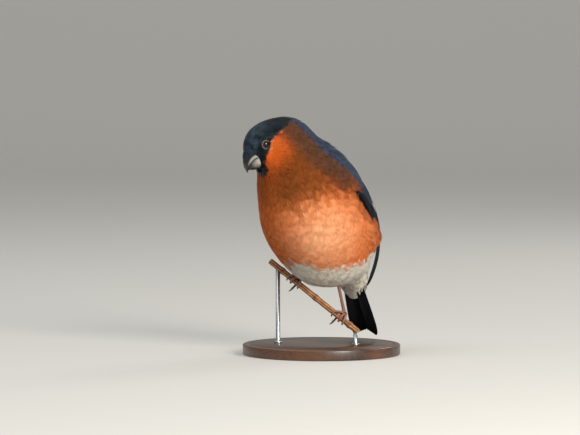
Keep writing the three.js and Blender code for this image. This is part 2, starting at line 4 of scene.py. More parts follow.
import bmesh
import bpy
import numpy as np
from mathutils import Matrix, Vector

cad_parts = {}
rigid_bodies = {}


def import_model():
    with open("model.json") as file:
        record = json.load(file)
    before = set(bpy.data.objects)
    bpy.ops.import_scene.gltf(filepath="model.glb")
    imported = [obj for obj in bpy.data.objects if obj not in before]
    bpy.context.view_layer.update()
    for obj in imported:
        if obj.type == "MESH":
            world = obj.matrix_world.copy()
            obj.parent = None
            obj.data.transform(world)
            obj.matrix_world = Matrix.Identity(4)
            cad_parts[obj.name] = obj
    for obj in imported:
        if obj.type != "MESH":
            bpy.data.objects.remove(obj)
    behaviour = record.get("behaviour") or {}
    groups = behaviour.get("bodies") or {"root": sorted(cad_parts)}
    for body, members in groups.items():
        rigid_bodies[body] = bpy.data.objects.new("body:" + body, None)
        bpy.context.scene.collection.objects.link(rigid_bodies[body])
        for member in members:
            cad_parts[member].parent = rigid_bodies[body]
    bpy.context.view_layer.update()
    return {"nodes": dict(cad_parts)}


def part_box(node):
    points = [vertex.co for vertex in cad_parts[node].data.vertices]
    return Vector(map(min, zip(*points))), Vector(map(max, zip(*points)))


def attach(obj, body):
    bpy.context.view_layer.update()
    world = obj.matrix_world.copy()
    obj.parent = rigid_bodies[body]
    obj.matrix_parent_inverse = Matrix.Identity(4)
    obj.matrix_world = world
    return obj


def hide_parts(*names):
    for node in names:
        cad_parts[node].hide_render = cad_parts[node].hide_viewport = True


# A male bullfinch that grips a cut length of sloping stem, on a plain display stand.
# Metres, +Z up. The bird's body faces -Y and its left side is +X.
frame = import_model()
scene = bpy.context.scene
mm = 0.001
print("frame loaded")


def unit(v):
    v = np.asarray(v, float)
    return v / np.maximum(np.linalg.norm(v, axis=-1, keepdims=True), 1e-12)


def squareTo(v, way):  # the part of v that is square to a way, one unit long
    return unit(v - (v * way).sum(-1, keepdims=True) * way)


def farFrom(p, spot):
    return np.linalg.norm(p - spot, axis=-1)


def ramp(x, low, high):  # 0 up to low, 1 from high on, smooth between
    t = np.clip((x - low) / (high - low), 0, 1)
    return t * t * (3 - 2 * t)


def rampMm(x, low, high):  # the same with its ends in millimetres
    return ramp(x, low * mm, high * mm)


def bandMm(x, start, full, waning, stop):  # 1 from full to waning, 0 before start and after stop
    return rampMm(x, start, full) * rampMm(-x, -stop, -waning)


def bell(x, width):  # 1 at 0, less to both sides
    return np.exp(-((x / width) ** 2))


def around(count):  # angles spaced evenly round a circle
    return np.linspace(0, 2 * math.pi, count, endpoint=False)


def turnFrom(start, angle):  # from one angle to another, the short way round
    return np.angle(np.exp(1j * (angle - start)))


def blended(a, b, share):  # colours a to b by a share for each point
    return a + (b - a) * np.asarray(share)[..., None]


def colour(code):  # "#rrggbb" as a linear colour
    shade = np.array([int(code[i : i + 2], 16) for i in (1, 3, 5)]) / 255
    return np.where(shade <= 0.04045, shade / 12.92, ((shade + 0.055) / 1.055) ** 2.4)


def at(*values):  # a place or sizes, given in millimetres
    return np.array(values) * mm


def table(*pairs):  # a profile in millimetres: places and values
    return np.array(pairs, float).T * mm


def read(profile, x):
    return np.interp(x, *profile)


def eased(profile, x):  # the same with its corners rounded
    spread = 0.9 * mm
    return sum(read(profile, x + k * spread) * w for k, w in zip((-1, 0, 1), (0.25, 0.5, 0.25)))


# How the bird is posed
pose = {
    "body": at(0, 0, 75),
    "bodyPitch": math.radians(59),
    "neck": at(-4, -18, 103),
    "nape": at(-5, -24.5, 122),
    "head": at(-9.5, -38.5, 120),
    "headTurn": math.radians(18),
    "headNod": math.radians(50),
    "headTilt": math.radians(6),
    "tailRoot": at(0, 19, 64),
    "tailTip": at(0, 40.4, 9.4),
}
level, steep = math.cos(pose["bodyPitch"]), math.sin(pose["bodyPitch"])
bodyAxes = np.array(((1, 0, 0), (0, -level, steep), (0, steep, level)))
headSpin = (
    Matrix.Rotation(-pose["headTurn"], 3, "Z")
    @ Matrix.Rotation(pose["headNod"], 3, "X")
    @ Matrix.Rotation(-pose["headTilt"], 3, "Y")
)
headAxes = np.array([headSpin @ Vector(v) for v in ((1, 0, 0), (0, -1, 0), (0, 0, 1))])
tailLength = float(np.linalg.norm(pose["tailTip"] - pose["tailRoot"]))
tailAlong = unit(pose["tailTip"] - pose["tailRoot"])
tailAxes = np.array((tailAlong, (-1, 0, 0), np.cross(tailAlong, (-1, 0, 0))))


def headPlace(p):  # left, forward and up in the head
    return ((p - pose["head"]) @ headAxes.T).T


def onHead(left, forward, up):
    return pose["head"] + np.stack(np.broadcast_arrays(left, forward, up), -1) @ headAxes


def bodyPlace(p):  # left, towards the head and out of the back
    return ((p - pose["body"]) @ bodyAxes.T).T


def tailPlace(p):  # along, right and out of the upper face
    return ((p - pose["tailRoot"]) @ tailAxes.T).T


def onTail(u, v, h):
    return pose["tailRoot"] + np.stack(np.broadcast_arrays(u, v, h), -1) @ tailAxes


# The folded wing: u runs from the bend to the tip, v across it to the back, h out of its face
wing = {
    "bend": at(25, -10, 103),
    "tip": at(9, 36.5, 38),
    "outward": np.array((0.89, 0.38, 0.24)),
    "bulge": 10 * mm,
    "roundFront": 16 * mm,
    "roundBack": 30 * mm,
    "tuck": 4.5 * mm,  # how far the tip lies closer to the body than the solid's
    "front": table((-3, 0), (0, -4), (8, -7.5), (18, -8), (30, -6.5), (42, -5), (66, -4.5), (76, -3.5),
                   (83, -1.5)),
    "back": table((-3, 3), (0, 7), (6, 12.5), (16, 16.4), (34, 17.6), (46, 17.2), (56, 12.5),
                  (74, 6), (83, 3)),
    "face": table((-3, 0), (4, 2), (12, 2.4), (22, 1.8), (36, 1.3), (50, 0.7), (83, 0.6)),
}
wingLength = float(np.linalg.norm(wing["tip"] - wing["bend"]))
wingAlong = unit(wing["tip"] - wing["bend"])
wingOut = squareTo(wing["outward"], wingAlong)
wingAxes = np.array((wingAlong, np.cross(wingOut, wingAlong), wingOut))


def wingLift(u, v):
    bend = np.where(v > 0, wing["roundBack"], wing["roundFront"])
    tuck = wing["tuck"] * rampMm(u, 46, 96)
    return wing["bulge"] * (1 - (2 * u / wingLength - 1) ** 2) - v**2 / (2 * bend) - tuck


def onWing(u, v, h):
    u, v, h = np.broadcast_arrays(u, v, h)
    return wing["bend"] + np.stack((u, v, wingLift(u, v) + h), -1) @ wingAxes


def ownSide(p, v):  # v of the left side, mirrored for the points of the right side
    return v * np.where(p[:, :1] < 0, (-1, 1, 1), (1, 1, 1))


def wingPlace(p):  # on the wing of the point's own side
    u, v, h = ((ownSide(p, p) - wing["bend"]) @ wingAxes.T).T
    return u, v, h - wingLift(u, v)


def withinWing(u, v):
    return (v > read(wing["front"], u)) & (v < read(wing["back"], u))


def addObject(name, mesh):
    made = bpy.data.objects.new(name, mesh)
    scene.collection.objects.link(made)
    return made


def storeValues(mesh, name, values):
    values = np.asarray(values, np.float32)
    kinds = {1: ("FLOAT", "value"), 3: ("FLOAT_VECTOR", "vector"), 4: ("FLOAT_COLOR", "color")}
    kind, field = kinds[1 if values.ndim == 1 else values.shape[1]]
    if name not in mesh.attributes:
        mesh.attributes.new(name, kind, "POINT")
    mesh.attributes[name].data.foreach_set(field, values.ravel())


def storeTint(mesh, tint):
    tint = np.broadcast_to(tint, (len(mesh.vertices), 3))
    storeValues(mesh, "tint", np.c_[tint, np.ones(len(tint))])


def dropValues(mesh, *names):
    for name in names:
        mesh.attributes.remove(mesh.attributes[name])


def valuesOf(items, field, width=3, kind=np.float32):
    values = np.empty(len(items) * width, kind)
    items.foreach_get(field, values)
    return values.reshape(-1, width)


def normalsOf(mesh):
    return valuesOf(mesh.vertex_normals, "vector").astype(float)


def movePoints(mesh, points):
    mesh.vertices.foreach_set("co", points.astype(np.float32).ravel())
    mesh.update()


class Pile:  # closed shapes gathered for one mesh, each with its tint and its place on the shape
    def __init__(self):
        self.points, self.faces, self.tints, self.spots, self.count = [], [], [], [], 0

    def add(self, points, faces, tint=(0, 0, 0), spot=(0, 0, 0)):
        points = np.asarray(points, float)
        self.faces += [[i + self.count for i in face] for face in faces]
        for kept, values in ((self.points, points), (self.tints, tint), (self.spots, spot)):
            kept.append(np.broadcast_to(values, points.shape).reshape(-1, 3))
        self.count += points.size // 3
        return self

    def loft(self, rings, tint=(0, 0, 0), spot=(0, 0, 0)):  # between closed rings, with both ends shut
        count, sides = rings.shape[:2]
        faces = [tuple(reversed(range(sides))), tuple(range((count - 1) * sides, count * sides))]
        return self.add(rings, ringFaces(count - 1, sides, count * sides) + faces, tint, spot)

    def made(self, name):
        mesh = bpy.data.meshes.new(name)
        mesh.from_pydata(np.concatenate(self.points).tolist(), [], self.faces)
        storeTint(mesh, np.concatenate(self.tints))
        storeValues(mesh, "place", np.concatenate(self.spots))
        shape = bmesh.new()
        shape.from_mesh(mesh)
        bmesh.ops.recalc_face_normals(shape, faces=shape.faces)
        shape.to_mesh(mesh)
        shape.free()
        mesh.shade_smooth()
        return addObject(name, mesh)


def ringFaces(steps, sides, total):  # from each ring to the next, past the last back to the first
    return [
        (i * sides + j, i * sides + k, ((i + 1) * sides + k) % total, ((i + 1) * sides + j) % total)
        for i in range(steps)
        for j, k in zip(range(sides), [*range(1, sides), 0])
    ]


def closed(top, under):  # rings round the room between two sheets
    return np.concatenate((top, under[:, ::-1]), 1)


def barRings(path, outward, radius, sides):  # rings round a path; radius is one value or one for each point
    ahead = unit(np.gradient(path, axis=0))
    outward = squareTo(np.broadcast_to(outward, path.shape), ahead)
    angle = around(sides)[:, None]
    way = outward[:, None] * np.cos(angle) + np.cross(ahead, outward)[:, None] * np.sin(angle)
    return path[:, None] + np.broadcast_to(radius, (len(path), sides))[..., None] * way


def evaluated(made):  # the mesh that an object's modifiers make
    view = bpy.context.evaluated_depsgraph_get()
    return bpy.data.meshes.new_from_object(made.evaluated_get(view))


class Tree:  # a node tree with short ways to add nodes
    def __init__(self, tree):
        self.tree = tree

    def add(self, kind, inputs=None, **settings):
        made = self.tree.nodes.new(kind)
        for key, value in settings.items():
            setattr(made, key, value)
        for key, value in (inputs or {}).items():
            if isinstance(value, bpy.types.NodeSocket):
                self.tree.links.new(value, made.inputs[key])
            else:
                made.inputs[key].default_value = value
        return made

    def sums(self, operation, a, b=0.0, c=0.0):
        return self.add("ShaderNodeMath", {0: a, 1: b, 2: c}, operation=operation).outputs[0]

    def vectors(self, operation, a, b=(0, 0, 0)):
        return self.add("ShaderNodeVectorMath", {0: a, 1: b}, operation=operation).outputs["Vector"]

    def scaled(self, a, scale):
        inputs = {0: a, "Scale": scale}
        return self.add("ShaderNodeVectorMath", inputs, operation="SCALE").outputs["Vector"]


class Growth(Tree):  # a Geometry Nodes tree
    def __init__(self, name, sockets):
        super().__init__(bpy.data.node_groups.new(name, "GeometryNodeTree"))
        for way in ("INPUT", "OUTPUT"):
            self.tree.interface.new_socket("Geometry", in_out=way, socket_type="NodeSocketGeometry")
        for label, kind in sockets.items():
            self.tree.interface.new_socket(label, in_out="INPUT", socket_type="NodeSocket" + kind)
        self.given = self.tree.nodes.new("NodeGroupInput").outputs

    def named(self, name, kind="FLOAT"):
        made = self.add("GeometryNodeInputNamedAttribute", {"Name": name}, data_type=kind)
        return made.outputs["Attribute"]

    def chance(self, low, high, step):
        seed = self.sums("ADD", self.given["Seed"], step)
        return self.add("FunctionNodeRandomValue", {2: low, 3: high, "Seed": seed}).outputs[1]

    def facing(self, outward, ahead):
        inputs = {"Primary Axis": outward, "Secondary Axis": ahead}
        return self.add("FunctionNodeAxesToRotation", inputs, primary_axis="Z", secondary_axis="X").outputs[0]

    def copied(self, **inputs):  # real copies of a shape on points
        laid = self.add("GeometryNodeInstanceOnPoints", {k.replace("_", " "): v for k, v in inputs.items()})
        return self.add("GeometryNodeRealizeInstances", {"Geometry": laid.outputs[0]}).outputs[0]

    def finished(self, geometry):
        inputs = {"Geometry": geometry, "Material": self.given["Finish"]}
        real = self.add("GeometryNodeSetMaterial", inputs).outputs[0]
        self.tree.links.new(real, self.tree.nodes.new("NodeGroupOutput").inputs[0])
        return self.tree


def grown(source, tree, name, values):  # what a tree makes on a source, as an object of its own
    modifier = source.modifiers.new(name, "NODES")
    modifier.node_group = tree
    for item in tree.interface.items_tree:
        if item.in_out == "INPUT" and item.name in values:
            modifier[item.identifier] = values[item.name]
    mesh = evaluated(source)
    source.modifiers.remove(modifier)
    mesh.name = name
    return addObject(name, mesh)


class Finish(Tree):  # a material whose tint, height and roughness can follow textures
    def __init__(self, name, roughness, **settings):
        self.material = bpy.data.materials.new(name)
        self.material.use_nodes = True
        super().__init__(self.material.node_tree)
        self.shader = self.tree.nodes["Principled BSDF"]
        for key, value in {"Roughness": roughness, **settings}.items():
            self.shader.inputs[key.replace("_", " ")].default_value = value

    def link(self, value, label):
        self.tree.links.new(value, self.shader.inputs[label])

    def stored(self, name, output="Color"):
        return self.add("ShaderNodeAttribute", attribute_name=name).outputs[output]

    def spot(self):
        return self.add("ShaderNodeTexCoord").outputs["Object"]

    def mapped(self, value, low, high, start=0.0, stop=1.0):
        inputs = {"Value": value, "From Min": start, "From Max": stop, "To Min": low, "To Max": high}
        return self.add("ShaderNodeMapRange", inputs).outputs["Result"]

    def noise(self, scale, detail=3.0, stretch=(1, 1, 1), spot=None):
        stretched = self.add("ShaderNodeMapping", {"Vector": spot or self.spot(), "Scale": stretch})
        inputs = {"Vector": stretched.outputs["Vector"], "Scale": scale, "Detail": detail}
        return self.add("ShaderNodeTexNoise", inputs).outputs["Fac"]

    def tinted(self, share, low, high):  # the stored tint, made darker or lighter by a share
        bright = self.mapped(share, low, high, 0.3, 0.7)
        self.link(self.scaled(self.stored("tint"), bright), "Base Color")

    def bumped(self, height, strength, distance):
        inputs = {"Height": height, "Strength": strength, "Distance": distance}
        self.link(self.add("ShaderNodeBump", inputs).outputs["Normal"], "Normal")

    def roughened(self, share, low, high):
        self.link(self.mapped(share, low, high), "Roughness")


def plumageFinish(name, roughness, sheen, low, high, grain=(520, 3.0, (1, 1, 0.28)), **settings):
    look = Finish(name, roughness, Sheen_Weight=sheen, Sheen_Roughness=0.45, **settings)
    look.tinted(look.noise(*grain), low, high)
    return look.material


def vaneFinish():
    look = Finish("flightFeather", 0.5, Specular_IOR_Level=0.2, Specular_Tint=(0.7, 0.8, 1, 1))
    spot = look.add("ShaderNodeSeparateXYZ", {"Vector": look.stored("place", "Vector")}).outputs
    slant = look.sums("MULTIPLY_ADD", look.sums("ABSOLUTE", spot["Y"]), -1.1, spot["X"])
    barbs = look.sums("SINE", look.sums("MULTIPLY", slant, 2 * math.pi / (0.42 * mm)))
    fine = look.sums("MULTIPLY_ADD", barbs, 0.12, look.noise(900))
    look.tinted(fine, 0.75, 1.25)
    look.bumped(barbs, 0.35, 0.04 * mm)
    look.roughened(fine, 0.42, 0.6)
    return look.material


def hornFinish(name, roughness, streak):
    look = Finish(name, roughness, Coat_Weight=0.3, Coat_Roughness=0.15)
    grain = look.noise(420, 4, streak)
    look.tinted(grain, 0.72, 1.3)
    look.roughened(grain, 0.22, 0.46)
    look.bumped(grain, 0.25, 0.05 * mm)
    return look.material


def eyeFinish():
    look = Finish("eyeball", 0.06, Coat_Weight=0.2, Coat_Roughness=0.02, IOR=1.3)
    look.tinted(look.noise(1500), 0.8, 1.2)
    return look.material


def skinFinish(name, roughness, size):
    look = Finish(name, roughness, Subsurface_Weight=0.06, Subsurface_Radius=(0.001,) * 3)
    inputs = {"Vector": look.spot(), "Scale": 1 / size}
    cells = look.add("ShaderNodeTexVoronoi", inputs, feature="DISTANCE_TO_EDGE")
    edge = look.mapped(cells.outputs["Distance"], 0, 1, 0, 0.12)
    look.bumped(edge, 0.5, 0.05 * mm)
    look.tinted(look.sums("MULTIPLY_ADD", edge, 0.25, look.noise(700)), 0.6, 1.15)
    return look.material


def barkFinish():
    look = Finish("bark", 0.78)
    grain = look.noise(1.4, 5.0, (160, 2.6, 2.6), look.stored("place", "Vector"))
    shade = look.sums("MULTIPLY_ADD", grain, 0.6, look.sums("MULTIPLY", look.noise(650, 2), 0.4))
    look.tinted(shade, 0.35, 1.55)
    look.bumped(shade, 0.8, 0.12 * mm)
    return look.material


def woodFinish():
    look = Finish("stainedWood", 0.4, Coat_Weight=0.35, Coat_Roughness=0.22)
    shifted = look.add("ShaderNodeMapping", {
        "Vector": look.spot(), "Location": (0.07, 0.2, 0), "Scale": (1, 0.12, 1),
    }).outputs["Vector"]
    rings = look.add("ShaderNodeTexWave", {
        "Vector": shifted, "Scale": 70.0, "Distortion": 2.2, "Detail": 3.0, "Detail Scale": 1.5,
    }, wave_type="RINGS").outputs["Fac"]
    pores = look.noise(1100, 3, (1, 0.05, 1))
    grain = look.sums("MULTIPLY_ADD", rings, 0.3, look.sums("MULTIPLY", pores, 0.75))
    mixed = look.add("ShaderNodeValToRGB", {"Fac": grain})
    for stop, position, tint in zip(mixed.color_ramp.elements, (0.28, 0.8), ("#20130c", "#5d3a24")):
        stop.position = position
        stop.color = (*colour(tint), 1)
    look.link(mixed.outputs["Color"], "Base Color")
    look.bumped(grain, 0.15, 0.1 * mm)
    return look.material


def steelFinish():
    look = Finish("brushedSteel", 0.3, Metallic=1.0, Base_Color=(*colour("#b9bab8"), 1))
    brushed = look.noise(1600, 2, (1, 1, 0.02))
    look.roughened(brushed, 0.2, 0.42)
    look.bumped(brushed, 0.12, 0.02 * mm)
    return look.material


finishes = {
    "skin": plumageFinish("coatSkin", 0.9, 0.0, 0.8, 1.1, Specular_IOR_Level=0.1),
    "body": plumageFinish("softFeather", 0.9, 0.06, 0.89, 1.1, Specular_IOR_Level=0.1),
    # the cap's tint is mottled strongly by noise: painted glossy flecks
    "cap": plumageFinish("capFeather", 0.36, 0, 0.3, 2.1, grain=(260,), Specular_IOR_Level=0.19,
                         Specular_Tint=(0.7, 0.85, 1, 1)),
    "vane": vaneFinish(),
    "bill": hornFinish("billHorn", 0.3, (1, 1, 1)),
    "claw": hornFinish("clawHorn", 0.35, (1, 1, 0.3)),
    "eye": eyeFinish(),
    "lid": skinFinish("lidSkin", 0.6, 0.35 * mm),
    "leg": skinFinish("legSkin", 0.55, 0.4 * mm),
    "bark": barkFinish(),
    "wood": woodFinish(),
    "steel": steelFinish(),
}


def place(made, slot, finish, *replaced):  # a finished piece of the still model
    made.data.materials.clear()
    made.data.materials.append(finishes[finish])
    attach(made, "root")
    if replaced:
        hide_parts(*replaced)


print("finishes ready")

# Markings and painted light and shade, in the head's and the body's own places
plumage = {
    "cap": colour("#0b0f13"),
    # painted sheen: a lighter bluish tone where the glossy crown reflects the sky
    "crown": colour("#2b353f"),
    "cheek": colour("#b8511a"),
    "breast": colour("#b9591c"),
    # painted light: the tone of the brightly lit middle of the breast
    "paintedLight": colour("#eeb085"),
    # a darker brown below the head: partly the plumage's own browner tone, partly painted shade from the head
    "collar": colour("#64330f"),
    # a darker red-brown towards the back of the flanks: partly a browner tone, partly painted shade
    "flank": colour("#652b12"),
    # painted shade along the wing's front edge
    "shadeBesideWing": colour("#6b2d1b"),
    # a pale edge below the cap near the eye: a painted highlight
    "rim": colour("#e0a583"),
    # darker than the mantle's own blue-grey, with the back's shade painted in
    "grey": colour("#2b3447"),
    "brownGrey": colour("#472f20"),
    "white": colour("#c8c1b4"),
    "black": colour("#08090c"),
    "covert": colour("#1f2532"),
    "bar": colour("#979ba5"),
    # edges: the cap's is up by forward, the grey's back by along, the white's along by back
    "capEdge": table((-24, 9), (-20, -1.4), (-14.7, -0.2), (-10.4, 0.9), (-6.6, 2.1), (-3.1, 2.6), (0.7, 1.8),
                     (3.1, 0.7), (5.2, 0.1), (8, -0.9), (10.1, -3.4), (11.9, -5.4), (14.2, -9.5)),
    "bib": at(-3.6, 7.3, 6.8),  # height of its middle in the head, half its width and height
    "greyEdge": table((-12, 14), (0, 12), (10, 11), (22, 12), (28, 12.5), (34.7, 11.6), (40, 9), (50.9, 8.4),
                      (56.4, 8), (62, 7), (68, 6)),
    "whiteEdge": table((-31.2, -5.6), (-29.6, -9.3), (-27, -12.2), (-23.7, -14.9), (-19.5, -16.8),
                       (-14.4, -18), (-9.4, -20.5), (2, -22), (7, -17), (10, -8)),
    # on the wing's face: where its grey starts, v by u, and where it ends, u by v
    "wingFront": table((0, 8), (4.6, 5.6), (8, 4.2), (9.3, 1), (11, -1.2), (14.1, -2.2), (20.7, -2.6),
                       (28.5, -2), (34, -1.2), (40, -3), (50, -8)),
    "wingGrey": table((-8, 10), (-4, 10), (-1, 10.5), (1, 12), (3, 17), (10, 23), (17, 25)),
    "paintedLightMiddle": at(19, 7, -22),  # the middle of the painted pool of light, in the body
    "paintedLightReach": at(19, 19, 22),
    "paintedLightShare": 0.72,
}


def markingsAndPaintedLight(p):  # colour of the coat with its painted light and shade, at points of its surface, its black share and its grey share
    left, forward, up = headPlace(p)
    side, along, back = bodyPlace(p)
    tailU, _, tailH = tailPlace(p)
    u, v, h = wingPlace(p)
    fromHead = farFrom(p, pose["head"])
    fromPaintedLight = (np.stack((side, along, back), -1) - plumage["paintedLightMiddle"]) / plumage["paintedLightReach"]
    edge = up - read(plumage["capEdge"], forward)
    onWingFace = rampMm(h, -3, -1.5) * withinWing(u, v) * (u > 0)
    intoWing = v - read(plumage["wingFront"], u)
    over = back - read(plumage["greyEdge"], along)
    grey = rampMm(over, -3, 0.5)
    tailCover = rampMm(tailU, 4, 7) * rampMm(tailH, 1.2, 2.4)
    # the painted darkening below the head is stronger on the bird's left than on its right
    collar = 0.4 + 0.5 * rampMm(side, -7, 7)
    layers = (
        ("cheek", 1 - rampMm(fromHead, 16, 30)),
        # a painted pool of light on the breast and belly, lightest at its middle, centred on the bird's left
        ("paintedLight", plumage["paintedLightShare"] * np.exp(-(fromPaintedLight**2).sum(1))),
        # painted shade below the head, with some browner tone of its own
        ("collar", collar * rampMm(fromHead, 12, 22) * rampMm(along, 22, 36)),
        # darker towards the back below the wing: partly a browner tone, partly painted shade
        ("flank", 0.9 * rampMm(back, -12, 0) * rampMm(along, 16, 27) * rampMm(fromHead, 24, 44)),
        # a faint painted highlight along the cap's lower edge by the eye
        ("rim", 0.2 * rampMm(edge, -1.8, -0.9) * bandMm(forward, -3, 0, 4, 6)),
        # painted shade on the body just in front of the wing's front edge
        ("shadeBesideWing", 0.85 * rampMm(intoWing, -11, -3) * rampMm(h, -12, -7) * bandMm(u, 2, 8, 30, 44)),
        ("brownGrey", 0.9 * rampMm(over, -20, -9) * rampMm(along, 16, 34)),
        ("grey", grey),
        ("white", rampMm(read(plumage["whiteEdge"], back) - along, -1.6, 1.8)),
        ("black", tailCover),
        ("grey", onWingFace * rampMm(intoWing, -1, 1) * (u < 45 * mm)),
        ("black", onWingFace * rampMm(u - read(plumage["wingGrey"], v), -1, 1)),
    )
    tint = plumage["breast"]
    for name, share in layers:
        tint = blended(tint, plumage[name], share)
    middle, wide, tall = plumage["bib"]
    inBib = 1 - (np.abs(left / wide + 0.1) ** 3 + np.abs((up - middle) / tall) ** 3) ** (1 / 3)
    bib = (forward > 5 * mm) * ramp(inBib, -0.04, 0.04)
    cap = np.maximum(rampMm(edge, -0.3, 0.4) * (fromHead < 32 * mm), bib)
    # painted sheen on the crown and forehead, away from the cap's edges
    capWithPaintedSheen = blended(plumage["cap"], plumage["crown"], rampMm(edge, 4, 10) * rampMm(forward, -15, -6))
    return blended(tint, capWithPaintedSheen, cap), np.maximum(cap, tailCover), grey


# The surface of the plumage, taken from the solids, with the room of the wings filled in
coat = {
    "cell": 0.95 * mm,
    "smoothing": 12,
    "fuller": 0.6 * mm,
    "ruffle": at(5, -10, 125),  # where the nape's feathers stand up a little
    "billLimit": 12.3 * mm,  # forward in the head, inside the bill
    "eyeRing": 3.15 * mm,
    "length": 14.5 * mm,
    "shorter": {"neck": 5.3 * mm, "head": 4.2 * mm, "face": 2.4 * mm, "tail": 6 * mm},
    "lengthOnWing": 7 * mm,
    "depth": 0.65 * mm,
    "flatter": {"head": 0.05 * mm, "face": 0.1 * mm},
    "skinSunk": 0.8,  # share of the depth
    "ownNormal": 0.18,  # share of a barb's own normal in its light
    "cheekLimit": 0.62,  # share of the neck where the small feathers of the cheek end
}
eyes = {side: np.array(sum(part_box(side + "_eye"), Vector()) / 2) for side in ("left", "right")}


def wingFiller(turn):
    u = np.linspace(-2 * mm, 50 * mm, 27)[:, None]
    share = np.linspace(0, 1, 13)
    front = read(wing["front"], u) + 0.4 * mm
    v = front + (read(wing["back"], u) - 0.3 * mm - front) * share
    face = read(wing["face"], u)
    top = onWing(u, v, face + 0.7 * mm - 0.8 * mm * (2 * share - 1) ** 4)
    return Pile().loft(closed(top, onWing(u, v, face - 6 * mm)) * (turn, 1, 1)).made("filler")


def surfaceOfPlumage():
    shape = bmesh.new()
    for node in ("head", "neck", "torso", "upper_mandible", "lower_mandible", "left_eye", "right_eye"):
        shape.from_mesh(frame["nodes"][node].data)
    for turn in (1, -1):
        filler = wingFiller(turn)
        shape.from_mesh(filler.data)
        bpy.data.objects.remove(filler)
    bmesh.ops.remove_doubles(shape, verts=shape.verts, dist=1e-7)
    mesh = bpy.data.meshes.new("outline")
    shape.to_mesh(mesh)
    shape.free()
    made = addObject("outline", mesh)
    remesh = made.modifiers.new("remesh", "REMESH")
    remesh.mode = "VOXEL"
    remesh.voxel_size = coat["cell"]
    made.modifiers.new("smooth", "SMOOTH").iterations = coat["smoothing"]
    mesh = evaluated(made)
    made.modifiers.clear()
    made.data = mesh
    mesh.shade_smooth()
    bpy.context.view_layer.objects.active = made
    made.select_set(True)
    mesh.uv_layers.new(name="OFBake")
    bpy.ops.object.mode_set(mode="EDIT")
    bpy.ops.mesh.select_all(action="SELECT")
    bpy.ops.uv.smart_project(angle_limit=math.radians(66), island_margin=0.006)
    bpy.ops.object.mode_set(mode="OBJECT")
    return made


def layOf(p, normal):  # the way the feathers point, from the bill to the tail
    stops = np.array([
        onHead(0, 16 * mm, 2 * mm),
        onHead(0, 6 * mm, 1 * mm),
        onHead(0, -6 * mm, -1 * mm),
        (pose["nape"] + pose["neck"]) / 2,
        pose["neck"] - (0, 0, 6 * mm),
        pose["body"] + bodyAxes[1] * 14 * mm,
        pose["body"],
        pose["body"] - bodyAxes[1] * 16 * mm + bodyAxes[2] * 3 * mm,
        onTail(4 * mm, 0, 0),
        onTail(20 * mm, 0, 0),
        onTail(40 * mm, 0, 0),
    ])
    reach = at(6, 7, 8, 10, 13, 15, 15, 14, 12, 11, 12)  # how far each stop is felt
    lay = np.exp(-((farFrom(p[:, None], stops) / reach) ** 2) / 2 + 1e-9) @ unit(np.gradient(stops, axis=0))
    u, v, h = wingPlace(p)
    covered = (rampMm(h, -4, -2) * withinWing(u, v) * (u > -3 * mm))[:, None]
    return squareTo(unit(lay) * (1 - covered) + ownSide(p, wingAlong) * covered, normal)


outline = surfaceOfPlumage()
surface = valuesOf(outline.data.vertices, "co").astype(float)
outward = normalsOf(outline.data)
eyeAway = np.min([farFrom(surface, eye) for eye in eyes.values()], axis=0)
left, forward, up = headPlace(surface)
fuller = 1 - rampMm(farFrom(surface, pose["head"]), 16, 26)
fuller *= rampMm(eyeAway, 3.4, 6) * (1 - rampMm(forward, 8, 11))
fuller += 1.4 * bandMm(forward, 8.5, 10, 12.5, 15) * rampMm(up, 3.4, 4.8)  # over the bill's base
surface += outward * coat["fuller"] * fuller[:, None]
movePoints(outline.data, surface)
left, forward, up = headPlace(surface)
side, along, back = bodyPlace(surface)
u, v, h = wingPlace(surface)
tailU = tailPlace(surface)[0]
fromHead = farFrom(surface, pose["head"])
onWingFace = (h > -2.5 * mm) & withinWing(u, v) & (u > 0)
headShare = 1 - rampMm(fromHead, 13, 22)
neckShare = 1 - rampMm(fromHead, 20, 46)
faceShare = headShare * rampMm(forward, -3, 8)
depth = coat["depth"] - coat["flatter"]["head"] * headShare - coat["flatter"]["face"] * faceShare
featherLength = np.full(len(surface), coat["length"])
shares = {"neck": neckShare, "head": headShare, "face": faceShare, "tail": rampMm(tailU, 2, 18)}
for name, share in shares.items():
    featherLength -= coat["shorter"][name] * share
featherLength[onWingFace] = coat["lengthOnWing"]
tint, _, greyShare = markingsAndPaintedLight(surface)
storeTint(outline.data, tint)
bristles = rampMm(forward, 9.3, 10) * rampMm(up, 3, 4.5)  # they lie forwards over the bill's base
lay = layOf(surface, outward) * (1 - bristles[:, None])
lay += (headAxes[1] + 0.3 * headAxes[2]) * bristles[:, None]
beforeWing = v - read(wing["front"], u)
flank = rampMm(h, -7, -4) * rampMm(beforeWing, -8, -5) * (beforeWing < 0) * bandMm(u, 14, 24, 38, 50)
overWing = unit(ownSide(surface, wingAlong + 0.4 * wingAxes[1]))
lay = squareTo(lay * (1 - flank[:, None]) + overWing * flank[:, None], outward)
ruffle = bell(farFrom(surface, coat["ruffle"]), 8 * mm)
coatValues = {
    "lay": lay,
    "raised": 0.07 * flank + 0.14 * ruffle + 0.15 * bristles,
    "ahead": 0.7 - 0.6 * flank,
    "loose": 0.25 * rampMm(fromHead, 20, 30) * (1 - flank) * rampMm(-tailU, 0, 8),
    "depth": depth,
    "length": featherLength,
}
for name, values in coatValues.items():
    storeValues(outline.data, name, values)
inBill = np.hypot(left / (6.2 * mm), (up + 0.7 * mm) / (5 * mm)) < 1
underBill = (forward > 8 * mm) & (inBill | ((forward > 13.2 * mm) & (up > -7 * mm))) & (fromHead < 24 * mm)
underVanes = onWingFace & (u > read(plumage["wingGrey"], v) + 2 * mm)
bare = (eyeAway < coat["eyeRing"] + 0.35 * mm) | underBill | underVanes | (tailU > 26 * mm)
print("surface of the plumage:", len(surface), "points")


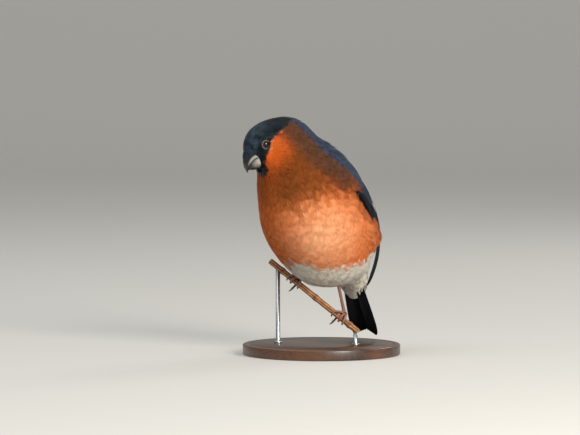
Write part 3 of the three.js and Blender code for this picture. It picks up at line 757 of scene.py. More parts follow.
def makeSkin():
    made = addObject("skin", outline.data.copy())
    dropValues(made.data, *coatValues)
    sunk = surface - outward * coat["skinSunk"] * depth[:, None]
    onBill = (forward > 9 * mm) & (np.abs(left) < 5.2 * mm)
    spare = np.where(onBill, np.maximum(headPlace(sunk)[1] - coat["billLimit"], 0), 0)
    movePoints(made.data, sunk - spare[:, None] * headAxes[1])
    place(made, "body_plumage", "skin", "head", "neck", "torso")


makeSkin()

# Small feathers: a fan of tapering barbs, root at the origin and tip on +X, one unit long and one wide
barb = {
    "waver": 0.03,
    "spread": 1.3,
    "arch": 0.025,
    "lift": 0.005,
    "ridge": 0.05,  # share of the width
    "middle": 0.55,  # where along its curve a barb has its second section
    "faces": ((0, 2, 1), (0, 1, 4, 3), (1, 2, 5, 4), (2, 0, 3, 5), (3, 4, 6), (4, 5, 6), (5, 3, 6)),
}


def barbedFeather(name, barbs, width, seed):
    chance = np.random.default_rng(seed)
    pile = Pile()
    for q in np.linspace(-1, 1, barbs) + chance.normal(0, barb["waver"], barbs):
        start = np.array((0.06 + 0.5 * (1 - min(abs(q), 1)) ** 1.2, 0))
        aside = 0.5 * math.sin(barb["spread"] * q) / math.sin(barb["spread"])
        tip = np.array((1 - 0.4 * abs(q) ** 2.2 + chance.normal(0, barb["waver"]), aside))
        bend = start + (tip - start) * (0.45, 0.85)
        lift = chance.uniform(0, barb["lift"])
        points = []
        for t in (0, barb["middle"]):
            centre = (1 - t) ** 2 * start + 2 * t * (1 - t) * bend + t * t * tip
            ahead = unit((1 - t) * (bend - start) + t * (tip - bend))
            across = np.array((-ahead[1], ahead[0])) * width * (1 - 0.3 * t**2) / 2
            arch = barb["arch"] * (0.25 - centre[1] ** 2) + lift
            points += [(*(centre - across), arch), (*(centre + across), arch)]
            points.append((*centre, arch + barb["ridge"] * width))
        points.append((*tip, barb["arch"] * (0.25 - tip[1] ** 2) + lift))
        pile.add(points, barb["faces"])
    points = np.concatenate(pile.points)
    made = pile.made(name)
    dropValues(made.data, "tint", "place")
    storeValues(made.data, "rise", points[:, 2])
    storeValues(made.data, "reach", np.clip(points[:, 0], 0, 1))
    corners = valuesOf(made.data.loops, "vertex_index", 1, np.int32)[:, 0]
    local = made.data.uv_layers.new(name="local")
    local.data.foreach_set("uv", (points[corners][:, :2] + (0, 0.5)).astype(np.float32).ravel())
    return made


def featherCollection(name, **settings):
    made = bpy.data.collections.new(name)
    for i in range(3):
        feather = barbedFeather(f"{name}{i}", seed=40 + i, **settings)
        scene.collection.objects.unlink(feather)
        made.objects.link(feather)
    return made


# How the tufts vary and how they sit on the surface
tuft = {
    "crowd": 2.2,  # points tried on each square of the spacing
    "sizes": (0.84, 1.16),
    "shades": (0.96, 1.04),
    "stands": (-0.5, 1.0),  # shares of a region's own stand
    "rootDepth": 1.05,  # share of the coat's depth
    "rootCurve": 0.8,
    # each tuft is darker at its root than at its tip: partly the feathers' own darker bases, partly painted
    # shade deep in the coat
    "rootShade": 0.78,
    "tipShade": 1.06,
    "patch": 0.003,  # size of a tuft in the bake layout
}


def coatTree():
    tree = Growth("coatOfFeathers", {
        "Feathers": "Collection", "Spacing": "Float", "Waver": "Float", "Breadth": "Float", "Stand": "Float",
        "Seed": "Int", "Finish": "Material",
    })
    given, add, named = tree.given, tree.add, tree.named
    sums, scaled, chance = tree.sums, tree.scaled, tree.chance
    vector, tone = "FLOAT_VECTOR", "FLOAT_COLOR"

    def stored(geometry, name, value, kind="FLOAT", domain="POINT"):
        inputs = {"Geometry": geometry, "Name": name, "Value": value}
        made = add("GeometryNodeStoreNamedAttribute", inputs, data_type=kind, domain=domain)
        return made.outputs["Geometry"]

    def nearest(value, spot, kind=vector):
        inputs = {"Mesh": given["Geometry"], "Value": value, "Sample Position": spot}
        return add("GeometryNodeSampleNearestSurface", inputs, data_type=kind).outputs["Value"]

    here = add("GeometryNodeInputPosition").outputs[0]
    upright = add("GeometryNodeInputNormal").outputs[0]
    crowd = sums("DIVIDE", tuft["crowd"], sums("MULTIPLY", given["Spacing"], given["Spacing"]))
    spread = add("GeometryNodeDistributePointsOnFaces", {
        "Mesh": given["Geometry"], "Distance Min": given["Spacing"], "Density Max": crowd,
        "Density Factor": named("growth"), "Seed": given["Seed"],
    }, distribute_method="POISSON")
    roots = stored(spread.outputs["Points"], "upright", spread.outputs["Normal"], vector)
    size = sums("MULTIPLY", named("length"), chance(*tuft["sizes"], 1))
    roots = stored(roots, "size", size)
    roots = stored(roots, "root", named("OFBake", vector), vector)
    # the tint is that of the surface further along the feather
    ahead = sums("MULTIPLY", size, sums("MULTIPLY_ADD", named("loose"), chance(-1.0, 1.0, 5), named("ahead")))
    shown = tree.vectors("ADD", here, scaled(named("lay", vector), ahead))
    roots = stored(roots, "tint", nearest(named("tint", tone), shown, tone), tone)
    roots = stored(roots, "shade", chance(*tuft["shades"], 2))
    turned = add("ShaderNodeVectorRotate", {
        "Vector": named("lay", vector), "Axis": named("upright", vector),
        "Angle": sums("MULTIPLY", given["Waver"], chance(-1.0, 1.0, 3)),
    }).outputs[0]
    stand = sums("MULTIPLY_ADD", given["Stand"], chance(*tuft["stands"], 4), named("raised"))
    roots = stored(roots, "stand", stand)
    broad = sums("MULTIPLY", named("size"), given["Breadth"])
    real = tree.copied(
        Points=roots,
        Instance=add("GeometryNodeCollectionInfo", {
            "Collection": given["Feathers"], "Separate Children": True, "Reset Children": True,
        }).outputs[0],
        Pick_Instance=True,
        Rotation=tree.facing(named("upright", vector), turned),
        Scale=add("ShaderNodeCombineXYZ", {"X": named("size"), "Y": broad, "Z": named("size")}).outputs[0],
        Instance_Index=add("FunctionNodeRandomValue", {4: 0, 5: 2, "Seed": given["Seed"]},
                           data_type="INT").outputs[2],
    )
    # each barb follows the surface, sunk at its root and a little raised at its tip
    rootwards = sums("POWER", sums("SUBTRACT", 1.0, named("reach")), tuft["rootCurve"])
    sunk = sums("MULTIPLY", sums("MULTIPLY", named("depth"), rootwards), -tuft["rootDepth"])
    tilted = sums("ADD", named("rise"), sums("MULTIPLY", named("stand"), named("reach")))
    height = sums("ADD", sunk, sums("MULTIPLY", tilted, named("size")))
    real = stored(real, "away", tree.vectors("NORMALIZE", nearest(upright, here)), vector)
    onSurface = tree.vectors("ADD", nearest(here, here), scaled(named("away", vector), height))
    real = add("GeometryNodeSetPosition", {"Geometry": real, "Position": onSurface}).outputs[0]
    # darker towards the root: partly the feathers' own darker bases, partly painted shade
    lighter = tuft["tipShade"] - tuft["rootShade"]
    shade = sums("MULTIPLY_ADD", named("reach"), lighter, tuft["rootShade"])
    real = stored(real, "tint", scaled(named("tint", tone), sums("MULTIPLY", shade, named("shade"))), tone)
    # every feather keeps to a small patch round its root in the skin's bake layout
    patch = scaled(tree.vectors("SUBTRACT", named("local", vector), (0.5, 0.5, 0)), tuft["patch"])
    real = stored(real, "OFBake", tree.vectors("ADD", named("root", vector), patch), "FLOAT2", "CORNER")
    return tree.finished(real)


fine = featherCollection("fineFeather", barbs=9, width=0.11)
soft = featherCollection("softFeather", barbs=19, width=0.08)
coatLayout = coatTree()
tips = surface + lay * (0.7 * featherLength)[:, None]
isCap = (markingsAndPaintedLight(tips)[1] > 0.5) & (fromHead < 34 * mm)
vent = (along < read(plumage["whiteEdge"], back)) | (tailU > 2 * mm)
rump = back > 4 * mm
rear = greyShare > 0.5
onNeck = ~isCap & ~vent & (neckShare > 0)
onBody = ~vent & (neckShare <= 0) & ~onWingFace
plain = ("body", "body_plumage")
regions = {
    # name: where it grows, template, spacing in mm, waver in degrees, breadth, stand, finish and slot
    "face_feathers": (isCap & (forward > -1 * mm), fine, 0.62, 8, 0.5, 0.02, ("cap", "cap")),
    "crown_feathers": (isCap & (forward <= -1 * mm), fine, 0.85, 6, 0.5, 0.02, ("cap", "cap")),
    "cheek_feathers": (onNeck & (neckShare > coat["cheekLimit"]), fine, 1.0, 6, 0.45, 0.03, plain),
    "neck_feathers": (onNeck & (neckShare <= coat["cheekLimit"]), soft, 1.4, 6, 0.45, 0.008, plain),
    "breast_feathers": (onBody & ~rear & (side > 0), soft, 1.45, 7, 0.42, 0.008, plain),
    "belly_feathers": (onBody & ~rear & (side <= 0), soft, 1.45, 7, 0.42, 0.008, plain),
    "back_feathers": (onBody & rear, soft, 1.5, 5, 0.46, 0.01, plain),
    "covert_feathers": (onWingFace & ~isCap, fine, 1.25, 4, 0.5, 0.015, plain),
    "vent_feathers": (vent & ~rump & ~onWingFace, soft, 1.5, 12, 0.6, 0.05, plain),
    "rump_feathers": (vent & rump & ~onWingFace, soft, 1.5, 10, 0.6, 0.03, plain),
}


def soften(mesh):  # barbs are lit more as the plumage that they lie on
    mesh.shade_smooth()
    away = valuesOf(mesh.attributes["away"].data, "vector")
    share = coat["ownNormal"]
    mesh.normals_split_custom_set_from_vertices(unit(share * normalsOf(mesh) + (1 - share) * away))
    dropValues(mesh, "away")


tris = 0
for index, (name, (where, shapes, spacing, waver, breadth, lift, look)) in enumerate(regions.items()):
    finish, slot = look
    storeValues(outline.data, "growth", (where & ~bare).astype(float))
    piece = grown(outline, coatLayout, name, {
        "Feathers": shapes, "Spacing": spacing * mm, "Waver": math.radians(waver), "Breadth": breadth,
        "Stand": lift, "Seed": 11 * index + 3, "Finish": finishes[finish],
    })
    kept = ("position", "tint", "OFBake", "away", "sharp_face")
    for spare in [a.name for a in piece.data.attributes if a.name not in kept]:
        found = piece.data.attributes.get(spare)
        if found and not found.is_internal and not found.is_required:
            piece.data.attributes.remove(found)
    soften(piece.data)
    place(piece, slot, finish)
    count = sum(len(p.vertices) - 2 for p in piece.data.polygons)
    tris += count
    print(name, count, "triangles")
print("coat:", tris, "triangles")
bpy.data.objects.remove(outline)

# Flight feathers and coverts: closed vanes with a raised shaft, laid like tiles
vaneForm = {
    "stations": np.array((0, 0.08, 0.18, 0.3, 0.42, 0.54, 0.66, 0.76, 0.84, 0.9, 0.94, 0.97, 0.99, 1)),
    "fullness": np.array((0.55, 0.75, 0.9, 0.97, 1, 1, 0.99, 0.96, 0.9, 0.8, 0.67, 0.5, 0.3, 0.08)),
    "columns": np.array((-1, -0.8, -0.5, -0.2, 0, 0.2, 0.5, 0.8, 1)),
    "shaft": 0.16 * mm,
    "camber": 0.18 * mm,
    "thickness": 0.3 * mm,
    "sunk": 1.5 * mm,  # at the root
    "rooted": 0.4,  # share of the length that rises from under the row above
    # the undersides of the vanes are darker: painted shade
    "underShade": 0.7,
}


def addVane(pile, onSheet, ends, edge, half, height, mirror=(1, 1, 1), tint=plumage["black"], tip=None,
            tipFrom=0.8, shaftAt=-0.25, tilt=0.2):
    t = vaneForm["stations"][:, None]
    s = vaneForm["columns"]
    s = np.where(s < 0, s * (1 + shaftAt) + shaftAt, shaftAt + s * (1 - shaftAt))
    u = ends[0] + (ends[1] - ends[0]) * t
    across = s * (half * vaneForm["fullness"])[:, None]
    v = edge[0] + (edge[1] - edge[0]) * t + half + across
    sunk = vaneForm["sunk"] * np.maximum(0, 1 - t / vaneForm["rooted"])
    top = height(u) - tilt * (across + half) - sunk + vaneForm["camber"] * (1 - s**2)
    ridge = vaneForm["shaft"] * (np.abs(s - shaftAt) < 0.01) * (1 - 0.7 * t)
    under = top - vaneForm["thickness"] * (1 - 0.5 * t) * (1 - 0.6 * np.abs(s))
    rings = closed(onSheet(u, v, top + ridge), onSheet(u, v, under)) * mirror
    shade = blended(tint, tint if tip is None else tip, ramp(t, tipFrom - 0.06, tipFrom + 0.06))
    spot = np.stack(np.broadcast_arrays(u, across, 0.0), -1)
    # their undersides take the darker share: painted shade
    pile.loft(rings, shade * np.repeat((1, vaneForm["underShade"]), len(s))[:, None], closed(spot, spot))


def makeWing(side, turn):  # rows are numbered as in the solids, most of them with more feathers here
    pile = Pile()

    def lay(start, stop, edge, half, lift, **more):
        addVane(pile, onWing, at(start, stop), at(*edge), half * mm,
                lambda u: read(wing["face"], u) + lift * mm, (turn, 1, 1), **more)

    for i in np.linspace(0, 6, 9):  # primaries, the outermost first
        stop = 79 + 3.9 * math.sin(0.75 * i + 0.1) - 2.1 * max(0, i - 2)
        lay(20, stop, (-5 + 1.3 * i, -2.4 + 0.95 * i), 2.5, 0, shaftAt=-0.45)
    for i in np.linspace(0, 3, 6):  # secondaries
        lay(18, 57.5 - i, (4 + 1.8 * i, 3.4 + 2.1 * i), 3.2, 0)
    for i in np.linspace(0, 2, 3):  # tertials
        lay(15, 52 - 5.5 * i, (6.6 + 1.2 * i, 6.2 + 1.7 * i), 3.9, 0.55, shaftAt=0)
    for i in np.linspace(0, 1, 4):  # primary coverts
        lay(14, 37 - 2.5 * i, (-5.8 + 1.8 * i, -5.4 + 2 * i), 1.8, 0.6)
    for i in np.linspace(0, 1, 2):  # feathers of the thumb
        lay(7, 24 - 5 * i, (-5 + i, -5.6 + i), 1.7, 1)
    for i in np.linspace(0, 6, 9):  # greater coverts, with the pale bar
        start = 0.66 + 0.03 * math.sin(5 * i) + 0.05 * abs(i / 3 - 1) ** 3 + 0.4 * (i < 2.2)
        lay(12, 33.5 - 0.3 * i, (-2 + 1.85 * i, -1.6 + 2.3 * i), 2.4, 0.65, tip=plumage["bar"], tipFrom=start)
    for i in np.linspace(0, 4, 7):  # median coverts
        tint = plumage["covert" if i > 0.6 else "black"]
        lay(6 + 3 * max(0, 1 - i / 2), 23 + 0.2 * i, (-2.6 + 2.2 * i, -3.4 + 3.2 * i), 2.6, 0.95, tint=tint)
    place(pile.made(f"{side}_wing_feathers"), "flight_feathers", "vane", f"{side}_wing")


def makeTail():
    pile = Pile()
    for i in range(6):  # pairs, the middle one first and on top
        ends = (15 * mm, tailLength - 1.2 * mm + 0.35 * mm * i)
        centre = at(0.7 + 0.42 * i, 1.5 + 1.5 * i - 0.04 * i * i)
        half = (3.5 - 0.08 * i) * mm
        for turn in (1, -1):
            height = (1.7 - 0.42 * i - (0.14 if turn < 0 else 0)) * mm
            addVane(pile, onTail, ends, turn * centre - half, half, lambda u: height,
                    tilt=0, shaftAt=0.3 * turn)
    place(pile.made("tail_feathers"), "flight_feathers", "vane", "tail")


makeWing("left", 1)
makeWing("right", -1)
makeTail()
print("wings and tail laid")

# Bill
bill = {
    "base": 7.6 * mm,
    "tip": 19.1 * mm,
    "lowerTip": 17.7 * mm,
    "halfWidth": table((7, 6.9), (9.5, 6.7), (11, 6.1), (12.5, 5.2), (15, 3.8), (17.5, 2.3), (19, 1.1),
                       (19.8, 0.3)),
    "culmen": table((7, 6.4), (12, 6), (14.5, 5.2), (16.3, 4), (17.6, 2.6), (18.5, 0.9), (19, -0.7),
                    (19.3, -1.3)),
    "mouth": table((7, -1.4), (9, -0.3), (11, 1.7), (12.5, 2.2), (14.5, 2.1), (17, 1.5), (18.2, 0.2),
                   (18.9, -1.2), (19.3, -1.7)),
    "gonys": table((7, -5.8), (11, -5.3), (13, -4.6), (15, -3.4), (16.8, -1.7), (17.7, 0)),
    "parting": 0.1 * mm,
    "nostril": at(3.0, 12.2, 4.4, 0.7),  # left, forward, up, radius
    "rings": 46,
    "sides": 40,
}


def mandible(name, node, upper):
    turn = 1 if upper else -1
    stop = bill["tip" if upper else "lowerTip"]
    x = bill["base"] + (stop - bill["base"]) * np.sin(np.linspace(0, math.pi / 2, bill["rings"])) ** 1.1
    ridge = eased(bill["culmen" if upper else "gonys"], x)
    start = eased(bill["mouth"], x) + bill["parting"] * turn
    reach = np.maximum(np.abs(ridge - start), 0.12 * mm) * turn
    half = eased(bill["halfWidth"], x) * (1 if upper else 0.99)
    half *= np.clip((stop - x) / (1.2 * mm), 0.05, 1) ** 0.5
    angle = around(bill["sides"])
    arc = np.sin(angle)
    rise = np.where(arc > 0, np.abs(arc) ** 0.75, -0.06 * np.abs(arc))
    lefts = half[:, None] * np.sign(np.cos(angle)) * np.abs(np.cos(angle)) ** 0.9
    points = onHead(lefts, x[:, None], start[:, None] + reach[:, None] * rise)
    if upper:
        leftAt, forwardAt, upAt, radius = bill["nostril"]
        for way in (1, -1):
            near = bell(farFrom(points, onHead(way * leftAt, forwardAt, upAt)), 0.6 * radius)
            points = points - near[..., None] * 0.7 * mm * (headAxes[0] * way + headAxes[2] * 0.6)
        paintedLight = ramp(-arc, -0.5, -0.15) * ramp(arc, 0, 0.12)
    else:
        paintedLight = ramp(arc, -0.1, 0.2) * (1 - 0.85 * ramp(arc, 0.4, 0.85))
    tip = ramp(x, stop - (6 if upper else 7) * mm, stop - 1.5 * mm)[:, None]
    # The paler grey along the upper mandible's cutting edge and on the lower's side is a painted highlight;
    # both are dark at the tip.
    shade = blended(colour("#0f0e10"), colour("#a5a19b"), paintedLight * (1 - tip))
    place(Pile().loft(points, shade).made(name), "bill_horn", "bill", node)


mandible("upper_bill", "upper_mandible", True)
mandible("lower_bill", "lower_mandible", False)
print("bill made")


# Small scales in rows, for the lids and the legs
def beadShape():
    angle = around(8)
    along = np.linspace(-0.96, 0.96, 5)[:, None]
    girth = np.sqrt(1 - along**2)
    rings = np.stack(np.broadcast_arrays(along, girth * np.cos(angle), 0.75 * girth * np.sin(angle)), -1)
    made = Pile().loft(rings).made("bead")
    dropValues(made.data, "tint", "place")
    return made


def scutesTree():  # copies of one shape along paths, standing on the paths' own outward side
    tree = Growth("scutesAlongPaths", {
        "Shape": "Object", "Step": "Float", "Size": "Vector", "Finish": "Material", "Seed": "Int",
    })
    curve = tree.add("GeometryNodeMeshToCurve", {"Mesh": tree.given["Geometry"]}).outputs[0]
    inputs = {"Curve": curve, "Length": tree.given["Step"]}
    even = tree.add("GeometryNodeResampleCurve", inputs, mode="LENGTH").outputs[0]
    ahead = tree.add("GeometryNodeInputTangent").outputs[0]
    amount = tree.sums("MULTIPLY", tree.chance(0.9, 1.1, 0), tree.named("girth"))
    return tree.finished(tree.copied(
        Points=even,
        Instance=tree.add("GeometryNodeObjectInfo", {"Object": tree.given["Shape"]}).outputs["Geometry"],
        Rotation=tree.facing(tree.named("outward", "FLOAT_VECTOR"), ahead),
        Scale=tree.scaled(tree.given["Size"], amount),
    ))


def pathObject(name, paths):  # each path: points, outward ways, girths, whether it closes
    mesh = bpy.data.meshes.new(name)
    points, ways, girths, edges, count = [], [], [], [], 0
    for path, way, girth, closes in paths:
        n = len(path)
        points.append(path)
        ways.append(np.broadcast_to(way, path.shape))
        girths.append(np.broadcast_to(girth, n))
        edges += [(count + i, count + i + 1) for i in range(n - 1)]
        edges += [(count + n - 1, count)] if closes else []
        count += n
    mesh.from_pydata(np.concatenate(points).tolist(), edges, [])
    storeValues(mesh, "outward", np.concatenate(ways))
    storeValues(mesh, "girth", np.concatenate(girths))
    return addObject(name, mesh)


bead = beadShape()
scutes = scutesTree()


def addScutes(name, paths, form, slot, finish):
    source = pathObject("scutePath", paths)
    made = grown(source, scutes, name, {
        "Shape": bead, "Step": form["step"], "Size": form["size"], "Seed": form["seed"],
        "Finish": finishes[finish],
    })
    bpy.data.objects.remove(source)
    storeTint(made.data, form["tint"])
    made.data.shade_smooth()
    place(made, slot, finish)


# Eyes, set in a ring of small bead-like scales
eye = {
    "radius": 3.1 * mm,
    "rings": 28,
    "sides": 40,
    "lidOut": 2.0 * mm,
    # the lid's roll, from the eyeball outwards and down to the feathers
    "roll": table((2.0, 0.34), (2.07, 0.52), (2.34, 0.56), (2.6, 0.36), (2.82, -0.1), (2.95, -0.9),
                  (2.3, -0.9)),
    "beadsAt": (2.32 * mm, 0.5 * mm),  # from the axis, and out
    "beads": {"step": 0.4 * mm, "size": (0.2 * mm, 0.24 * mm, 0.16 * mm), "seed": 5,
              "tint": colour("#5f564e")},
}


def makeEye(side, turn):
    centre = eyes[side]
    axis = unit(headAxes[0] * turn + 0.16 * headAxes[1])
    polar = np.linspace(0.02, math.pi - 0.02, eye["rings"])
    path = centre + np.outer(np.cos(polar), axis) * eye["radius"]
    fromAxis = np.sin(polar)[:, None] * eye["radius"]
    iris = rampMm(fromAxis, 1.15, 1.35) * (1 - 0.6 * rampMm(fromAxis, 1.7, 2.2))
    shade = blended(colour("#040303"), colour("#1d0f09"), iris)
    ball = Pile().loft(barRings(path, headAxes[2], fromAxis, eye["sides"]), shade)
    place(ball.made(f"{side}_eyeball"), "eye", "eye", f"{side}_eye")
    angle = around(60)
    spoke = np.outer(np.cos(angle), headAxes[1]) + np.outer(np.sin(angle), headAxes[2])
    middle = centre + axis * eye["lidOut"]
    rings = np.array([middle + spoke * r + axis * out for r, out in eye["roll"].T]).transpose(1, 0, 2)
    count, sides = rings.shape[:2]
    roll = Pile().add(rings, ringFaces(count, sides, count * sides), colour("#3b3531"))
    place(roll.made(f"{side}_lid"), "body_plumage", "lid")
    away, out = eye["beadsAt"]
    ring = middle + spoke * away + axis * out
    addScutes(f"{side}_lid_beads", [(ring, axis, 1.0, True)], eye["beads"], "body_plumage", "lid")


makeEye("left", 1)
makeEye("right", -1)
print("eyes made")

# Perch: a cut length of ribbed stem with knots
perch = {
    "upper": at(-27.5, -12.9, 52.8),
    "lower": at(21.3, 7, 13.4),
    "radius": 1.65 * mm,
    "knots": (0.14, 0.52, 0.9),
    "knotReach": 0.022,
    "swelling": 0.3 * mm,
    "scar": 0.35 * mm,
    "ribs": 6,
    "rib": 0.11 * mm,
    "fissures": 24,
    "fissure": 0.1 * mm,
    "dark": colour("#3d2414"),
    "warm": colour("#a97345"),
    "cut": colour("#b99a72"),
}
perchLength = float(np.linalg.norm(perch["lower"] - perch["upper"]))
perchAlong = unit(perch["lower"] - perch["upper"])
perchTop = squareTo(np.array((0, 0, 1)), perchAlong)
perchFront = np.cross(perchAlong, perchTop)


def perchWay(angle):  # the way out of the stem at an angle from its top
    angle = np.asarray(angle, float)[..., None]
    return perchTop * np.cos(angle) + perchFront * np.sin(angle)


def roundPerch(share, across, angle, reach):
    share, across, reach = (np.asarray(x, float)[..., None] for x in (share, across, reach))
    return perch["upper"] + perchAlong * (share * perchLength + across) + perchWay(angle) * reach


def makePerch():
    t = np.linspace(0, 1, 260)[:, None]
    angle = around(64)
    twist = angle + 0.5 * t
    ribs = np.abs(np.cos(perch["ribs"] * twist / 2 + 0.3 * np.sin(9 * t))) ** 0.6
    radius = perch["radius"] + perch["rib"] * (ribs - 0.75)
    shade = blended(perch["dark"], perch["warm"], ramp(ribs, 0.35, 0.9))
    for knot in perch["knots"]:
        near = bell(t - knot, perch["knotReach"])
        radius += perch["swelling"] * near
        for scar in (0.4, 0.4 + math.pi):  # where a pair of leaves once grew
            across = bell(turnFrom(scar + 2.1 * knot, angle), 0.5)
            radius += perch["scar"] * near * across * np.sin(1.68 * (t - knot) / perch["knotReach"] + 0.9)
        shade = blended(shade, perch["dark"], 0.5 * bell(t - knot, 0.8 * perch["knotReach"]))
    chance = np.random.default_rng(3)
    for _ in range(perch["fissures"]):  # fine, along the bark
        where, width = chance.uniform(0, 2 * math.pi), chance.uniform(0.03, 0.07)
        centre, reach = chance.uniform(0, 1), chance.uniform(0.05, 0.2)
        radius -= perch["fissure"] * bell(turnFrom(where, twist), width) * bell(t - centre, reach)
    radius[[0, -1]] *= 0.86
    shade[[0, -1]] = perch["cut"]
    spot = np.stack(np.broadcast_arrays(t * perchLength, np.cos(twist), np.sin(twist)), -1)
    place(Pile().loft(roundPerch(t, 0, angle, radius), shade, spot).made("stem"), "bark", "bark", "perch")


# Legs: share is where the foot stands on the stem, across how far along it each toe ends, in mm
leg = {
    "radius": 0.85 * mm,
    "ball": 1.5 * mm,
    "clear": 0.15 * mm,  # between the toes and the stem
    "toe": (0.76 * mm, 0.57 * mm),
    "left": {"share": 0.812, "heel": at(7.5, 6.5, 38.5), "root": at(6.6, 7.4, 42.5),
             "across": (-2.9, -5.4, -0.3, 2.4)},
    "right": {"share": 0.3, "heel": at(-10.6, -2.2, 49.5), "root": at(-10.2, -1.4, 51),
              "across": (0.3, -5, -2.3, 2.8)},
    "toes": ((0, -128, 4.2), (-1, 108, 0), (-0.2, 142, 0), (0.9, 122, 0)),  # start, turn, straight end
    "claw": {"radius": 0.52 * mm, "tip": 0.06 * mm, "length": 4.8 * mm, "bend": math.radians(75)},
    "scutes": {"step": 0.78 * mm, "size": (0.48 * mm, 0.66 * mm, 0.36 * mm), "seed": 9,
               "tint": colour("#7a5244")},
    "sides": 20,
    # lit and shaded tones of the leg's skin: the toes carry painted light between them, the shin a mix
    "deep": colour("#4a2f27"),
    "light": colour("#8a5f50"),
}


def toePath(side, digit):
    start, turn, straight = leg["toes"][digit]
    last = leg[side]["across"][digit]
    t = np.linspace(0, 1, 44)
    across = (start + (last - start) * np.sin(math.pi / 2 * np.minimum(1.3 * t, 1))) * mm
    reach = perch["radius"] + leg["clear"] + leg["toe"][0] + 0.8 * mm * (1 - t) ** 2
    angle = math.radians(turn) * (0.05 + 0.95 * t)
    path = roundPerch(leg[side]["share"], across, angle, reach)
    outward = perchWay(angle)
    if straight:
        more = np.arange(1, 15)[:, None] / 14 * straight * mm
        path = np.concatenate((path, path[-1] + unit(path[-1] - path[-2]) * more))
        outward = np.concatenate((outward, np.broadcast_to(outward[-1], (len(more), 3))))
    return path, outward


def makeClaw(side, digit, path):
    form = leg["claw"]
    ahead = unit(path[-1] - path[-2])
    root = path[-1] - ahead * 0.5 * mm
    inward = squareTo(roundPerch(leg[side]["share"], leg[side]["across"][digit] * mm, 0, 0) - root, ahead)
    t = np.linspace(0, 1, 22)[:, None]
    bow = form["length"] / form["bend"]
    curve = root + ahead * bow * np.sin(form["bend"] * t) + inward * bow * (1 - np.cos(form["bend"] * t))
    radius = form["tip"] + (form["radius"] - form["tip"]) * (1 - t) ** 0.75
    groove = 1 - 0.22 * bell(turnFrom(math.pi, around(16)), 0.5)
    shade = blended(colour("#4b3d35"), colour("#17120f"), ramp(t, 0.0, 0.6))
    claw = Pile().loft(barRings(curve, -inward, radius * groove, 16), shade)
    place(claw.made(f"{side}_claw_horn_{digit + 1}"), "claw_horn", "claw", f"{side}_claw_{digit + 1}")


def makeLeg(side):
    toes, paths = Pile(), []
    sides = leg["sides"]
    heel, root = leg[side]["heel"], leg[side]["root"]
    centre = roundPerch(leg[side]["share"], 0, 0, perch["radius"] + leg["clear"] + leg["ball"] - 0.2 * mm)
    # each toe is lighter on its outer side and darker where it faces the stem, and the ball where they meet
    # is in the darker tone: painted shade
    upper = np.cos(around(sides))
    shade = blended(leg["deep"], leg["light"], ramp(upper, -0.6, 0.9))
    for digit in range(4):
        path, outward = toePath(side, digit)
        t = np.linspace(0, 1, len(path))
        thick = leg["toe"][0] + (leg["toe"][1] - leg["toe"][0]) * t
        pads = 0.12 * mm * np.cos(6 * math.pi * t)[:, None] * (upper < -0.2)
        toes.loft(barRings(path, outward, thick[:, None] + pads, sides), shade)
        top = path + unit(outward) * (thick - 0.2 * mm)[:, None]
        paths.append((top[3:-2], outward[3:-2], thick[3:-2] / leg["toe"][0], False))
        makeClaw(side, digit, path)
    polar = np.linspace(0.05, math.pi - 0.05, 14)
    ball = centre + np.outer(np.cos(polar), unit(heel - centre)) * leg["ball"]
    toes.loft(barRings(ball, perchFront, (np.sin(polar) * leg["ball"])[:, None], sides), leg["deep"])
    place(toes.made(f"{side}_toes"), "leg_skin", "leg", f"{side}_foot")
    shank = centre + (heel - centre) * np.linspace(0.05, 1, 30)[:, None]
    path = np.concatenate((shank, heel + (root - heel) * np.linspace(0.1, 1, 8)[:, None]))
    t = np.linspace(0, 1, len(path))[:, None]
    radius = leg["radius"] + 0.28 * mm * (1 - t) ** 6 + 0.35 * mm * t**6
    shin = Pile().loft(barRings(path, perchFront, radius, sides), blended(leg["deep"], leg["light"], 0.55))
    place(shin.made(f"{side}_shank"), "leg_skin", "leg", f"{side}_tarsus")
    front = path + perchFront * (radius - 0.22 * mm)
    paths.append((front[2:30], perchFront, 1.25, False))
    addScutes(f"{side}_scutes", paths, leg["scutes"], "leg_skin", "leg")


makePerch()
makeLeg("left")
makeLeg("right")
bpy.data.objects.remove(bead)
for group in (fine, soft):
    for feather in list(group.objects):
        bpy.data.objects.remove(feather)
    bpy.data.collections.remove(group)
print("perch and feet made")

# Stand: a turned base and two rods, in millimetres
stand = {
    "radius": 45,
    "thickness": 6,
    "round": 0.8,
    "groove": (3.4, 4.05, 0.25),  # its outer and inner edge from the rim, and its depth
    "rod": 1.25,
    "collar": (2.3, 0.9),
    "rods": {"stand_rod_upper": 0.09, "stand_rod_lower": 0.97},  # where they hold the stem
}


def turned(profile, centre=(0, 0), steps=128):  # a profile of radius and height, turned about +Z
    angle = around(steps)
    r, z = (np.array(profile) * mm).T[..., None]
    rings = np.broadcast_arrays(centre[0] + r * np.cos(angle), centre[1] + r * np.sin(angle), z)
    return Pile().loft(np.stack(rings, -1))


def roundedCorner(r, z, radius, start, stop, steps=5):
    angle = np.radians(np.linspace(start, stop, steps))
    return [(r + radius * math.cos(a), z + radius * math.sin(a)) for a in angle]


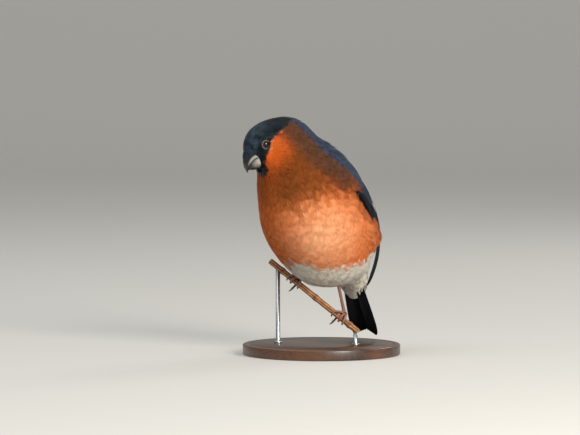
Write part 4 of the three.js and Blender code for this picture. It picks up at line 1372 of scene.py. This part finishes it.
def makeStand():
    r, z, edge = stand["radius"], stand["thickness"], stand["round"]
    outer, inner, deep = stand["groove"]
    profile = [(0.2, 0), (r - edge, 0)] + roundedCorner(r - edge, edge, edge, -80, 0)
    profile += roundedCorner(r - edge, z - edge, edge, 5, 90)
    profile += [(r - outer, z), (r - outer - 0.15, z - deep), (r - inner + 0.15, z - deep), (r - inner, z)]
    base = turned(profile + [(20, z), (0.2, z)])
    place(base.made("turned_base"), "stand_wood", "wood", "stand_base")
    rod = stand["rod"]
    wide, tall = stand["collar"]
    for name, share in stand["rods"].items():
        foot = roundPerch(share, 0, 0, 0)
        top = foot[2] / mm - 0.9
        profile = [(0.05, z - 3), (rod, z - 3), (rod, z - 0.05), (wide, z - 0.05), (wide, z + tall - 0.25)]
        profile += [(wide - 0.25, z + tall), (rod + 0.05, z + tall), (rod, z + tall + 0.1)]
        post = turned(profile + [(rod, top), (0.05, top)], foot[:2], 48)
        place(post.made(name.replace("stand_rod", "stand_post")), "stand_steel", "steel", name)


makeStand()
print("stand made")

# Floor, light and camera
view = {
    "azimuth": math.radians(40),
    "elevation": math.radians(3),
    "distance": 2.0,
    "metresPerPixel": 0.57 * mm,
    "pixels": 580,
    "sideways": -17.95 * mm,
    "height": 78.1 * mm,
}
floor = {"width": 9, "near": 3.4, "far": 2.6, "round": 0.8, "top": 3.0}
lamps = {  # ways as the camera sees them
    "key": {"size": 0.65, "power": 23, "way": (0.6, 0.42, 1.0), "distance": 1.3, "warmth": (1, 0.95, 0.87)},
    "fill": {"size": 1.2, "power": 9, "way": (-0.6, 1.0, 0.4), "distance": 1.6, "warmth": (0.78, 0.88, 1)},
    "rim": {"size": 0.5, "power": 4, "way": (0.9, 0.9, -1.0), "distance": 1.4, "warmth": (1, 1, 1)},
    "sky": {"size": 2.0, "power": 9, "way": (0, 1, 0), "distance": 1.9, "warmth": (1, 1, 1)},
}


def fromView(right, up, towards):  # a place or a way given as the camera's azimuth shows it
    r = np.array((math.cos(view["azimuth"]), math.sin(view["azimuth"]), 0))
    b = np.array((math.sin(view["azimuth"]), -math.cos(view["azimuth"]), 0))
    return r * right + b * towards + np.array((0, 0, up))


def makeFloor():
    far, edge = floor["far"], floor["round"]
    reach = [(-floor["near"], 0), (far, 0)] + roundedCorner(far, edge, edge, -90, 0, 12)[1:]
    reach.append((far + edge, floor["top"]))
    points = [tuple(fromView(s * floor["width"] / 2, z, -y)) for y, z in reach for s in (-1, 1)]
    mesh = bpy.data.meshes.new("floor")
    mesh.from_pydata(points, [], [(2 * i, 2 * i + 1, 2 * i + 3, 2 * i + 2) for i in range(len(reach) - 1)])
    mesh.shade_smooth()
    paper = Finish("paper", 0.9, Base_Color=(*colour("#b0ada6"), 1), Emission_Color=(*colour("#d9d6cf"), 1),
                   Emission_Strength=0.22)
    mesh.materials.append(paper.material)
    addObject("floor", mesh)


def addLamp(name, form):
    lamp = bpy.data.lights.new(name, "AREA")
    lamp.shape = "DISK"
    lamp.size = form["size"]
    lamp.energy = form["power"]
    lamp.color = form["warmth"]
    way = Vector(fromView(*form["way"])).normalized()
    made = addObject(name, lamp)
    made.location = Vector((0, 0, view["height"])) + way * form["distance"]
    made.rotation_euler = way.to_track_quat("Z", "Y").to_euler()


def makeCamera():
    right = Vector(fromView(1, 0, 0))
    back = Vector(fromView(0, math.sin(view["elevation"]), math.cos(view["elevation"])))
    target = Vector(fromView(view["sideways"], view["height"], 0))
    camera = bpy.data.cameras.new("camera")
    camera.lens = camera.sensor_width * view["distance"] / (view["pixels"] * view["metresPerPixel"])
    camera.clip_end = 20
    made = addObject("camera", camera)
    turn = Matrix((right, back.cross(right), back)).transposed().to_4x4()
    made.matrix_world = Matrix.Translation(target + back * view["distance"]) @ turn
    scene.camera = made


makeFloor()
for name, form in lamps.items():
    addLamp(name, form)
world = bpy.data.worlds.new("studio")
world.use_nodes = True
world.node_tree.nodes["Background"].inputs["Color"].default_value = (0.8, 0.84, 0.88, 1)
world.node_tree.nodes["Background"].inputs["Strength"].default_value = 0.35
scene.world = world
scene.view_settings.view_transform = "Standard"
makeCamera()
print("floor, light and camera set")
